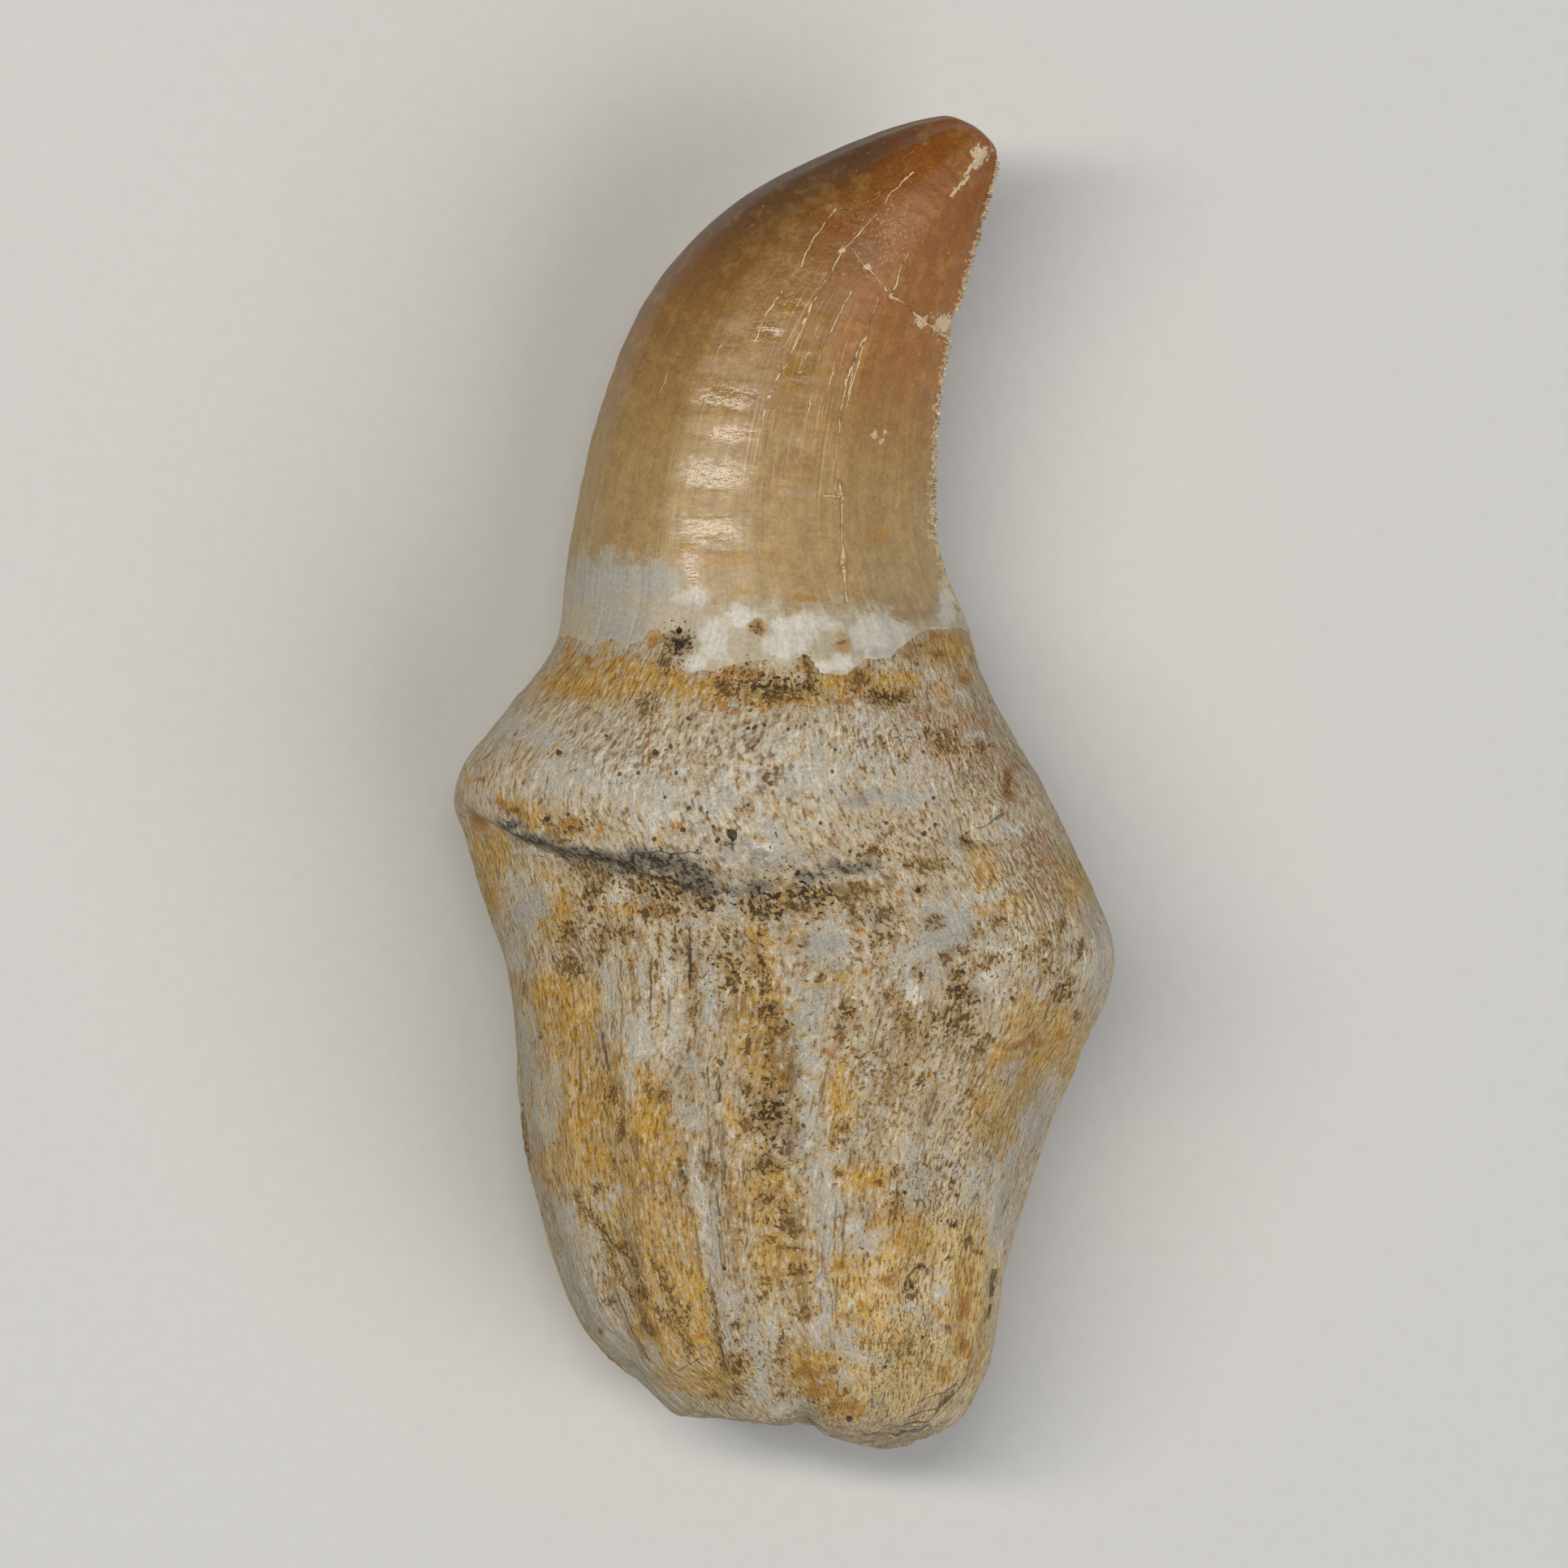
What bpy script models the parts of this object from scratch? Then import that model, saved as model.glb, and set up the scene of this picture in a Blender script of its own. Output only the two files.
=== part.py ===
"""A fossil mosasaur tooth with its root, lying on its flatter side.

X runs across the tooth, Y from the root's end towards the crown's tip, and Z up from the floor.
The origin is on the floor under the middle of the tooth. Crown and root grew as one piece, so the
tooth is one solid: a loft whose sections turn with the crown, and whose skin is raised and cut by
the ledge, hollows, ribs and grooves that the fossil shows.
"""

import bpy
import numpy as np

# Driving dimensions, in metres. The thickness follows the length.
TOOTH_LENGTH = 0.0900
TOOTH_WIDTH = 0.0446

# The skin's grid: rings from tip to root, and points round each ring on its two sides.
RINGS = 78
FRONT_POINTS = 35
BACK_POINTS = 25

# The drawing below is in millimetres and about its own middle. Each station is one section of the
# tooth, from the tip to the root's end: the point on the convex edge, the point on the concave edge,
# the height of the line between them over the floor, and how far the section rises above that line
# and falls below it.
STATIONS = [
    ((13.7, 43.7), (13.7, 43.7), 15.2, 0.0, 0.0),  # the worn tip
    ((12.6, 44.5), (14.3, 42.8), 15.2, 1.3, 1.1),
    ((10.6, 45.0), (14.2, 41.3), 15.0, 2.6, 2.0),
    ((4.3, 43.1), (13.2, 37.5), 14.6, 4.7, 3.2),
    ((-3.4, 39.1), (12.1, 33.6), 13.9, 6.7, 4.5),
    ((-9.1, 33.0), (11.0, 29.3), 13.2, 8.3, 5.6),  # the middle of the crown
    ((-12.5, 24.9), (10.2, 23.2), 12.6, 9.6, 6.5),
    ((-14.4, 16.4), (10.3, 16.5), 12.1, 10.5, 7.2),
    ((-15.2, 10.6), (12.4, 10.5), 11.8, 11.4, 8.1),  # where the enamel ends
    ((-16.4, 8.2), (13.2, 7.8), 11.6, 12.3, 9.1),
    ((-20.1, 3.5), (15.6, 3.3), 11.4, 14.0, 10.6),
    ((-21.8, 1.2), (17.0, 1.0), 11.3, 14.7, 11.3),  # the collar
    ((-22.3, -1.1), (18.2, -1.3), 11.2, 15.0, 11.4),  # the point of the ledge
    ((-21.6, -3.3), (19.2, -3.4), 11.1, 15.0, 11.0),
    ((-19.7, -9.8), (22.1, -9.9), 11.0, 14.9, 10.2),
    ((-19.0, -12.1), (22.3, -12.3), 11.0, 14.8, 10.2),  # the bulge
    ((-18.5, -15.6), (21.3, -15.6), 11.0, 14.6, 10.4),
    ((-17.4, -24.2), (17.6, -24.2), 11.0, 13.8, 11.2),
    ((-15.4, -32.1), (15.2, -32.1), 10.8, 12.3, 11.2),
    ((-13.9, -36.0), (14.5, -36.0), 10.4, 11.2, 10.5),
    ((-12.1, -38.6), (13.9, -38.4), 10.2, 10.1, 9.6),
    ((-9.7, -40.5), (13.0, -40.6), 9.9, 8.8, 8.4),
    ((-7.4, -42.4), (11.7, -42.6), 9.6, 7.2, 6.8),
    ((-4.5, -42.6), (9.5, -44.1), 9.3, 5.6, 5.2),
    ((-1.5, -43.1), (6.5, -44.9), 9.0, 3.6, 3.2),
    ((1.3, -43.3), (1.3, -43.3), 8.9, 0.0, 0.0),  # the root's end
]

ENAMEL_END_Y = 10.7  # where the crown meets the root
CROWN_BLEND = 3.0  # half the stretch over which a crown section turns into a root section
KEEL_SHARPNESS = 0.72  # how far the crown's concave edge is drawn out to a cutting edge
KEEL_POWER = 5  # how close to the edge that starts
FRONT_SQUARENESS = 0.35  # added to an ellipse's power of 2 on the root
BACK_SQUARENESS = 0.9

# The foot of the ledge that crosses the root's front, as (x, y), and the height of its step there.
LEDGE = [
    ((-22.3, -1.2), 0.8),
    ((-17.9, -3.3), 1.1),
    ((-12.5, -4.8), 1.6),
    ((-9.0, -6.1), 2.1),
    ((-5.1, -7.5), 2.2),
    ((-3.4, -7.6), 2.0),
    ((-0.8, -6.1), 1.6),
    ((3.4, -5.4), 1.1),
    ((7.0, -5.4), 0.4),
    ((10.0, -5.4), 0.0),
]
LEDGE_LIP = 2.0  # from the lip's foot to its edge
LEDGE_FADE_UP = 6.5
LEDGE_FADE_DOWN = 3.5
BACK_LEDGE_Y = -3.5
BACK_LEDGE_WAVE = 0.8
BACK_LEDGE_STEP = 0.7

# Hollows and swellings of the front: centre, half-lengths along X and Y, and height.
FRONT_FORMS = [
    ((12.4, -11.8), (4.2, 1.7), -0.8),  # hollow inside the bulge
    ((17.0, -9.0), (4.2, 4.2), 0.5),  # the bulge's crest
    ((12.0, -3.4), (1.8, 0.9), -0.6),  # nick under the hooked knob
    ((14.4, -1.6), (1.4, 1.0), 0.5),  # the hooked knob
    ((-2.6, -5.0), (2.2, 2.0), 0.5),  # swelling at the middle of the lip
    ((-7.2, 10.4), (1.6, 1.5), -0.35),  # spongy spots below the enamel
    ((-0.6, 6.9), (3.2, 1.2), -0.35),
    ((6.9, 6.3), (2.4, 1.1), -0.3),
    ((8.7, -33.8), (1.3, 1.3), -0.4),  # round pit near the root's end
    ((-1.4, -22.0), (1.9, 8.5), -0.7),  # the trough down the middle
    ((17.8, -22.5), (2.4, 6.5), -0.6),  # the smooth face below the bulge
]

# Ribs and grooves that run down the root: x at the top, x at the bottom, half-width and height.
ROOT_RIBS = [
    (-16.2, -12.4, 1.3, 0.20),
    (-13.2, -10.3, 1.1, -0.35),
    (-10.2, -8.0, 1.4, 0.35),
    (-7.4, -4.6, 1.0, -0.45),
    (-4.9, -3.0, 1.1, 0.35),
    (0.9, 2.1, 1.1, 0.50),
    (3.9, 4.3, 1.2, -0.30),
    (7.6, 6.8, 1.8, 0.25),
    (11.8, 9.8, 1.3, -0.25),
]
RIBS_TOP_Y = -9.5
RIBS_BOTTOM_Y = -40.5
RIBS_FADE = 2.5
BACK_RIBS = 0.6  # the back's ribs as a share of the front's

CLEFT_X = 1.3  # the cleft that parts the root's end into two lobes
CLEFT_TOP_Y = -36.0
CLEFT_HALF_WIDTH = 1.1
CLEFT_DEPTH = 0.8

CROWN_FACETS = 7  # flat bands along the crown, counted round half of it
CROWN_FACET_HEIGHT = 0.14
SINE_ARCH_MEAN = 2 / np.pi
LUMP_HEIGHT = 0.16
POLE_FADE = 0.035  # share of the tooth's length, at each end, over which the forms die away

BONE_COLOUR = (0.36, 0.28, 0.18, 1.0)
BONE_ROUGHNESS = 0.75


def clear_scene():
    """Removes whatever the scene holds."""
    for thing in list(bpy.data.objects):
        bpy.data.objects.remove(thing, do_unlink=True)


def bell(distance, half_width):
    """1 at no distance, and falling smoothly to almost nothing at twice the half-width."""
    return np.exp(-((distance / half_width) ** 2))


def rise(value, low, high):
    """0 below low, 1 above high, and a smooth rise between them."""
    share = np.clip((value - low) / (high - low), 0.0, 1.0)
    return share * share * (3.0 - 2.0 * share)


def station_table():
    """The stations as an array, with a mirrored one past each end so that both ends round off.

    Past an end the edges change places, and what rose above the middle line falls below it.
    """
    rows = np.array([[*convex, *concave, *section] for convex, concave, *section in STATIONS])
    change_places = [2, 3, 0, 1, 4, 5, 6]
    signs = np.array([1, 1, 1, 1, 1, -1, -1])
    return np.vstack([rows[1][change_places] * signs, rows, rows[-2][change_places] * signs])


def spline(rows, positions):
    """A smooth curve through the rows, read at positions from 0 to 1.

    It is a Catmull-Rom curve whose knots are spaced by how far the tooth's two edges travel, on
    average, from one station to the next.
    """
    steps = np.diff(rows[:, :4], axis=0)
    travel = (np.hypot(steps[:, 0], steps[:, 1]) + np.hypot(steps[:, 2], steps[:, 3])) / 2
    knots = np.concatenate([[0.0], np.cumsum(travel)]) - travel[0]
    slopes = (rows[2:] - rows[:-2]) / (knots[2:] - knots[:-2])[:, None]
    inner, values = knots[1:-1], rows[1:-1]
    at = positions * inner[-1]
    left = np.clip(np.searchsorted(inner, at, side="right") - 1, 0, len(inner) - 2)
    gap = (inner[left + 1] - inner[left])[:, None]
    u = (at[:, None] - inner[left][:, None]) / gap
    return (
        values[left] * (1 + 2 * u) * (1 - u) ** 2
        + slopes[left] * gap * u * (1 - u) ** 2
        + values[left + 1] * u**2 * (3 - 2 * u)
        + slopes[left + 1] * gap * u**2 * (u - 1)
    )


def ring_positions():
    """Where the rings lie from tip to root's end: about twice as close together at both ends."""
    share = (np.arange(RINGS) + 0.5) / RINGS
    return share - 0.55 * np.sin(2 * np.pi * share) / (2 * np.pi)


def section_angles():
    """The angles round a section: half a turn over the front, then half a turn over the back."""
    front = np.linspace(0, np.pi, FRONT_POINTS, endpoint=False)
    back = np.linspace(np.pi, 2 * np.pi, BACK_POINTS, endpoint=False)
    return np.concatenate([front, back])


def smooth_body(positions, angles):
    """Points of the bare form, with its share of root section and its depth share at each.

    Each section is a superellipse between the tooth's two edges: angle 0 is the concave edge, a
    quarter turn the front that looks up, half a turn the convex edge. On the crown the concave edge
    is drawn out to a thin keel.
    """
    rows = spline(station_table(), positions)
    convex, concave = rows[:, None, 0:2], rows[:, None, 2:4]
    middle_z, above, below = (rows[:, column][:, None] for column in (4, 5, 6))
    across, deep = np.cos(angles)[None], np.sin(angles)[None]

    centre_y = (convex + concave)[..., 1] / 2
    root = 1 - rise(centre_y, ENAMEL_END_Y - CROWN_BLEND, ENAMEL_END_Y + CROWN_BLEND)
    power = 2 + root * np.where(deep > 0, FRONT_SQUARENESS, BACK_SQUARENESS)
    across_share = np.sign(across) * np.abs(across) ** (2 / power)
    deep_share = np.sign(deep) * np.abs(deep) ** (2 / power)
    keel = KEEL_SHARPNESS * (1 - root) * ((1 + across_share) / 2) ** KEEL_POWER
    deep_share = deep_share * (1 - keel)

    points = np.empty((len(positions), len(angles), 3))
    points[..., :2] = (convex + concave) / 2 + (concave - convex) / 2 * across_share[..., None]
    points[..., 2] = middle_z + np.where(deep > 0, above, below) * deep_share
    return points, root, deep


def skin_normals(points):
    """Unit normals of a grid of points that closes round, pointing out of the tooth."""
    around = np.roll(points, -1, axis=1) - np.roll(points, 1, axis=1)
    along = np.gradient(points, axis=0)
    normals = np.cross(around, along)
    outward = points - points.mean(axis=1, keepdims=True)
    normals *= np.sign((normals * outward).sum())
    return normals / np.linalg.norm(normals, axis=2, keepdims=True)


def ledge_height(x, y):
    """The front's ledge: a lip that rises over its foot line, and dies away above and below it."""
    foot_x = [point[0] for point, _ in LEDGE]
    foot_y = np.interp(x, foot_x, [point[1] for point, _ in LEDGE])
    step = np.interp(x, foot_x, [height for _, height in LEDGE])
    over = y - foot_y
    fade = np.where(over > 0, bell(over, LEDGE_FADE_UP), bell(over, LEDGE_FADE_DOWN))
    return step * (rise(over, 0.0, LEDGE_LIP) - 0.5) * fade


def rib_height(x, y):
    """The root's ribs and grooves, each a narrow bell that leans in with the root's taper."""
    down = np.clip((RIBS_TOP_Y - y) / (RIBS_TOP_Y - RIBS_BOTTOM_Y), 0.0, 1.0)
    total = np.zeros_like(x)
    for top_x, bottom_x, half_width, height in ROOT_RIBS:
        total += height * bell(x - (top_x + (bottom_x - top_x) * down), half_width)
    start = 1 - rise(y, RIBS_TOP_Y - RIBS_FADE, RIBS_TOP_Y + RIBS_FADE)
    end = rise(y, RIBS_BOTTOM_Y - RIBS_FADE, RIBS_BOTTOM_Y + RIBS_FADE)
    return total * start * end


def front_height(x, y):
    """Every form of the side that looks up, along the skin's normal."""
    total = ledge_height(x, y) + rib_height(x, y)
    for (centre_x, centre_y), (half_x, half_y), height in FRONT_FORMS:
        total += height * bell(x - centre_x, half_x) * bell(y - centre_y, half_y)
    return total


def back_height(x, y):
    """The side that lies down: the ledge goes round it, lower and straighter, over lower ribs."""
    over = y - BACK_LEDGE_Y - BACK_LEDGE_WAVE * np.sin(x / 6.0)
    fade = np.where(over > 0, bell(over, LEDGE_FADE_UP), bell(over, LEDGE_FADE_DOWN))
    ledge = BACK_LEDGE_STEP * (rise(over, 0.0, LEDGE_LIP) - 0.5) * fade
    return ledge + BACK_RIBS * rib_height(-x, y)


def cleft_height(x, y):
    """The cleft between the two lobes at the root's end."""
    depth = CLEFT_DEPTH * (1 - rise(y, STATIONS[-1][0][1], CLEFT_TOP_Y))
    return -depth * bell(x - CLEFT_X, CLEFT_HALF_WIDTH)


def crown_facets(angles):
    """Flat bands that run along the crown: sine arches, taken off the round section at its mean."""
    arches = np.abs(np.sin(CROWN_FACETS * angles / 2))
    return CROWN_FACET_HEIGHT * (SINE_ARCH_MEAN - arches)[None]


def lump_height(x, y, z):
    """Slow unevenness of the root, from a few crossing waves."""
    first = np.sin(x / 3.1 + 0.7) * np.sin(y / 4.3 + 1.9)
    second = np.sin(z / 3.7 + x / 5.3) * np.sin(y / 2.9)
    return LUMP_HEIGHT * (first + second)


def fitted(points):
    """The drawing's points in metres, centred, cut flat by the floor and at the driving size."""
    points[:, 2] = np.maximum(points[:, 2], 0.0)
    low, high = points.min(axis=0), points.max(axis=0)
    across = TOOTH_WIDTH / (high[0] - low[0])
    along = TOOTH_LENGTH / (high[1] - low[1])
    middle = [(low[0] + high[0]) / 2, (low[1] + high[1]) / 2, 0.0]
    return (points - middle) * [across, along, along]


def tooth_points():
    """The tooth's skin as a list of points: its rings from the tip down, then its two ends."""
    positions, angles = ring_positions(), section_angles()
    points, root, deep = smooth_body(positions, angles)
    x, y, z = points[..., 0], points[..., 1], points[..., 2]
    height = front_height(x, y) * rise(deep, 0.05, 0.45)
    height += back_height(x, y) * rise(-deep, 0.05, 0.45)
    height += cleft_height(x, y) + lump_height(x, y, z) * root + crown_facets(angles) * (1 - root)
    ends = rise(positions, 0.0, POLE_FADE) * rise(1 - positions, 0.0, POLE_FADE)
    points = points + skin_normals(points) * (height * ends[:, None])[..., None]

    tip = [*STATIONS[0][0], STATIONS[0][2]]
    root_end = [*STATIONS[-1][0], STATIONS[-1][2]]
    return fitted(np.vstack([points.reshape(-1, 3), tip, root_end]))


def skin_faces():
    """Quads between neighbouring rings, and a fan of triangles at each end."""
    count = FRONT_POINTS + BACK_POINTS
    ring, step = np.meshgrid(np.arange(RINGS - 1), np.arange(count), indexing="ij")
    first = ring * count + step
    second = ring * count + (step + 1) % count
    quads = np.stack([first, second, second + count, first + count], axis=-1).reshape(-1, 4)
    rim = np.arange(count)
    following = (rim + 1) % count
    tip, root_end, last = RINGS * count, RINGS * count + 1, (RINGS - 1) * count
    tip_fan = np.stack([np.full(count, tip), following, rim], axis=-1)
    end_fan = np.stack([np.full(count, root_end), last + rim, last + following], axis=-1)
    return quads.tolist() + tip_fan.tolist() + end_fan.tolist()


def bone_material():
    """Weathered, mineralised bone and enamel, in one plain colour."""
    material = bpy.data.materials.new("fossil_bone")
    material.use_nodes = True
    shader = material.node_tree.nodes["Principled BSDF"]
    shader.inputs["Base Color"].default_value = BONE_COLOUR
    shader.inputs["Roughness"].default_value = BONE_ROUGHNESS
    shader.inputs["Metallic"].default_value = 0.0
    return material


def build_tooth(collection):
    """The tooth as one mesh object, with its origin under its middle."""
    mesh = bpy.data.meshes.new("tooth")
    mesh.from_pydata(tooth_points().tolist(), [], skin_faces())
    mesh.shade_smooth()
    mesh.materials.append(bone_material())
    tooth = bpy.data.objects.new("tooth", mesh)
    collection.objects.link(tooth)
    return tooth


def main():
    clear_scene()
    collection = bpy.data.collections.new("fossil_mosasaur_tooth")
    bpy.context.scene.collection.children.link(collection)
    build_tooth(collection)


main()
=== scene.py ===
# %% [markdown]
# A fossil mosasaur tooth, in one lesson.
# The real thing is a single tooth of a marine lizard: a curved enamel crown on a thick bony root, turned to
# mineral and stained by the phosphate sand that it lay in. A plain solid of it is loaded first as a fixed
# frame. The lesson then makes its two skins, enamel and bone, on a fine grid of the same form, and gives them
# their finish.

# %% Load the solid and keep its box
import itertools

import bpy
import numpy as np
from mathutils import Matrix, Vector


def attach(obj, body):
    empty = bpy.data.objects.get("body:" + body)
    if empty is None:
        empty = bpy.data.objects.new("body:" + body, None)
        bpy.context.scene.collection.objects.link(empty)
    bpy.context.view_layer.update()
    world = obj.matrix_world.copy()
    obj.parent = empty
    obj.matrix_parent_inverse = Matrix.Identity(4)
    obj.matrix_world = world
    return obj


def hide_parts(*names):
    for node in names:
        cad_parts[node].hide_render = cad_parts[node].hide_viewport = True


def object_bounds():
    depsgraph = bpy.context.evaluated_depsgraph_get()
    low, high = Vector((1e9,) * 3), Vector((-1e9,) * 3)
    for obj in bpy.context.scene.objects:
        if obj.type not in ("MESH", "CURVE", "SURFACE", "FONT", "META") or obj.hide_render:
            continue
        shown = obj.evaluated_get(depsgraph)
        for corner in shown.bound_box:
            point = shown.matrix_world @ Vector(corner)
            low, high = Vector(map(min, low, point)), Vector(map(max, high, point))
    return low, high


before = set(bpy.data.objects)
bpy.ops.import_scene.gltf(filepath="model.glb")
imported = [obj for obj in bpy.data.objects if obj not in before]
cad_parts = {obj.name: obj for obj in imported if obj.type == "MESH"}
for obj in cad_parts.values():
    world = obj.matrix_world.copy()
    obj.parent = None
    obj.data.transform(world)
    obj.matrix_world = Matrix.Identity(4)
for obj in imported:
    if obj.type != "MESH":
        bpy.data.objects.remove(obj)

MM_PER_METRE = 1000.0
cad_low, cad_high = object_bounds()
print("the solid measures, in mm:", [round(MM_PER_METRE * side, 1) for side in cad_high - cad_low])

# %% [markdown]
# The form of the tooth.
# A tooth is longer than it is wide and bends as it goes, so it is drawn as a chain of sections, each
# known by its two edges in plan and by how far it rises and falls from the line between them. A
# smooth curve through those numbers gives a section anywhere. Modelling it by hand from a sphere
# would do too, but then crown, root and every stain would lose the two numbers that place them:
# how far down the tooth, and how far round it.

# %% The drawing, in millimetres
# Each section: the point on the convex edge, the point on the concave edge, the height of the line
# between them over the floor, how far it rises above that line, and how far it falls below.
STATIONS = [
    ((13.7, 43.7), (13.7, 43.7), 15.2, 0.0, 0.0),  # the worn tip
    ((12.6, 44.5), (14.3, 42.8), 15.2, 1.3, 1.1),
    ((10.6, 45.0), (14.2, 41.3), 15.0, 2.6, 2.0),
    ((4.3, 43.1), (13.2, 37.5), 14.6, 4.7, 3.2),
    ((-3.4, 39.1), (12.1, 33.6), 13.9, 6.7, 4.5),
    ((-9.1, 33.0), (11.0, 29.3), 13.2, 8.3, 5.6),  # the middle of the crown
    ((-12.5, 24.9), (10.2, 23.2), 12.6, 9.6, 6.5),
    ((-14.4, 16.4), (10.3, 16.5), 12.1, 10.5, 7.2),
    ((-15.2, 10.6), (12.4, 10.5), 11.8, 11.4, 8.1),  # where the enamel ends
    ((-16.4, 8.2), (13.2, 7.8), 11.6, 12.3, 9.1),
    ((-20.1, 3.5), (15.6, 3.3), 11.4, 14.0, 10.6),
    ((-21.8, 1.2), (17.0, 1.0), 11.3, 14.7, 11.3),  # the collar
    ((-22.3, -1.1), (18.2, -1.3), 11.2, 15.0, 11.4),  # the point of the ledge
    ((-21.6, -3.3), (19.2, -3.4), 11.1, 15.0, 11.0),
    ((-19.7, -9.8), (22.1, -9.9), 11.0, 14.9, 10.2),
    ((-19.0, -12.1), (22.3, -12.3), 11.0, 14.8, 10.2),  # the bulge
    ((-18.5, -15.6), (21.3, -15.6), 11.0, 14.6, 10.4),
    ((-17.4, -24.2), (17.6, -24.2), 11.0, 13.8, 11.2),
    ((-15.4, -32.1), (15.2, -32.1), 10.8, 12.3, 11.2),
    ((-13.9, -36.0), (14.5, -36.0), 10.4, 11.2, 10.5),
    ((-12.1, -38.6), (13.9, -38.4), 10.2, 10.1, 9.6),
    ((-9.7, -40.5), (13.0, -40.6), 9.9, 8.8, 8.4),
    ((-7.4, -42.4), (11.7, -42.6), 9.6, 7.2, 6.8),
    ((-4.5, -42.6), (9.5, -44.1), 9.3, 5.6, 5.2),
    ((-1.5, -43.1), (6.5, -44.9), 9.0, 3.6, 3.2),
    ((1.3, -43.3), (1.3, -43.3), 8.9, 0.0, 0.0),  # the root's end
]
ENAMEL_END_Y = 10.7
CROWN_BLEND = 3.0  # mm on either side, over which the crown's section turns into the root's
KEEL_SHARPNESS = 0.72
KEEL_POWER = 5
FRONT_SQUARENESS = 0.35
BACK_SQUARENESS = 0.9
print("sections drawn:", len(STATIONS))

# %% A section anywhere, and the bare form


def bell(distance, half_width):
    """1 at no distance, and falling as e to the minus square of the distance in half-widths."""
    return np.exp(-((distance / half_width) ** 2))


def rise(value, low, high):
    """0 below low, 1 above high, and 3u² - 2u³ between them."""
    share = np.clip((value - low) / (high - low), 0.0, 1.0)
    return share * share * (3.0 - 2.0 * share)


def station_table():
    """The stations as an array, with a mirrored one past each end so that both ends round off."""
    rows = np.array([[*convex, *concave, *section] for convex, concave, *section in STATIONS])
    change_places = [2, 3, 0, 1, 4, 5, 6]
    signs = np.array([1, 1, 1, 1, 1, -1, -1])
    return np.vstack([rows[1][change_places] * signs, rows, rows[-2][change_places] * signs])


def spline(rows, positions):
    """A Catmull-Rom curve through the rows, read from 0 to 1, with knots spaced by edge travel."""
    steps = np.diff(rows[:, :4], axis=0)
    travel = (np.hypot(steps[:, 0], steps[:, 1]) + np.hypot(steps[:, 2], steps[:, 3])) / 2
    knots = np.concatenate([[0.0], np.cumsum(travel)]) - travel[0]
    slopes = (rows[2:] - rows[:-2]) / (knots[2:] - knots[:-2])[:, None]
    inner, values = knots[1:-1], rows[1:-1]
    at = positions * inner[-1]
    left = np.clip(np.searchsorted(inner, at, side="right") - 1, 0, len(inner) - 2)
    gap = (inner[left + 1] - inner[left])[:, None]
    u = (at[:, None] - inner[left][:, None]) / gap
    curve = (
        values[left] * (1 + 2 * u) * (1 - u) ** 2
        + slopes[left] * gap * u * (1 - u) ** 2
        + values[left + 1] * u**2 * (3 - 2 * u)
        + slopes[left + 1] * gap * u**2 * (u - 1)
    )
    return curve, inner[-1]


def bare_form(positions, angles):
    """A grid of points on superellipses between the tooth's two edges.

    Across goes as the cosine to the power 2/n and depth as the sine to 2/n, with n from 2 on the
    crown to nearly 3 on the root's back. A keel factor thins the section towards the concave edge.
    """
    rows, length = spline(station_table(), positions)
    convex, concave = rows[:, None, 0:2], rows[:, None, 2:4]
    middle_z, above, below = (rows[:, column][:, None] for column in (4, 5, 6))
    across, deep = np.cos(angles)[None], np.sin(angles)[None]
    centre_y = (convex + concave)[..., 1] / 2
    root = 1 - rise(centre_y, ENAMEL_END_Y - CROWN_BLEND, ENAMEL_END_Y + CROWN_BLEND)
    power = 2 + root * np.where(deep > 0, FRONT_SQUARENESS, BACK_SQUARENESS)
    across_share = np.sign(across) * np.abs(across) ** (2 / power)
    deep_share = np.sign(deep) * np.abs(deep) ** (2 / power)
    keel = KEEL_SHARPNESS * (1 - root) * ((1 + across_share) / 2) ** KEEL_POWER
    points = np.empty((len(positions), len(angles), 3))
    points[..., :2] = (convex + concave) / 2 + (concave - convex) / 2 * across_share[..., None]
    points[..., 2] = middle_z + np.where(deep > 0, above, below) * deep_share * (1 - keel)
    return points, root, length


DRAWING_ROWS = 500
_, drawn_length = spline(station_table(), np.linspace(0, 1, DRAWING_ROWS))
print("the drawing's middle line is", round(drawn_length, 1), "mm long")

# %% [markdown]
# The forms on the root.
# The fossil's root isn't smooth: a ledge crosses it where the gum bone began, the concave side swells
# into a bulge, and ribs and grooves run down to a cleft at the end. Sculpting would make them, but
# each is simple enough to write as a height over the bare form: a step that fades, a bell, or a bell
# that leans. The solid has the same heights, so skin and solid agree.

# %% Ledge, hollows, ribs and cleft
# The foot of the ledge as (x, y), the height of its step there, and how far its slope reaches up.
LEDGE = [
    ((-22.3, -1.6), 0.8, 0.8),
    ((-19.5, -3.0), 1.0, 0.9),
    ((-17.9, -4.0), 1.2, 1.0),
    ((-15.0, -4.9), 1.5, 1.0),
    ((-12.5, -5.3), 1.8, 1.1),
    ((-11.0, -5.7), 2.0, 1.5),
    ((-9.0, -6.3), 2.1, 2.0),
    ((-5.1, -7.4), 2.2, 2.6),
    ((-3.4, -7.6), 2.0, 2.0),
    ((-0.8, -6.8), 1.6, 2.0),
    ((3.4, -6.1), 1.1, 2.2),
    ((7.0, -5.9), 0.4, 2.0),
    ((10.0, -5.9), 0.0, 1.0),
]
BACK_LEDGE_WIDTH = 2.0
LEDGE_ROUNDING = 0.12
LEDGE_FADE_UP = 6.5
LEDGE_FADE_DOWN = 3.5
BACK_LEDGE_Y = -3.5
BACK_LEDGE_WAVE = 0.8
BACK_LEDGE_SWING = 6.0  # mm along X for each radian of the wave
BACK_LEDGE_STEP = 0.7
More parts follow.
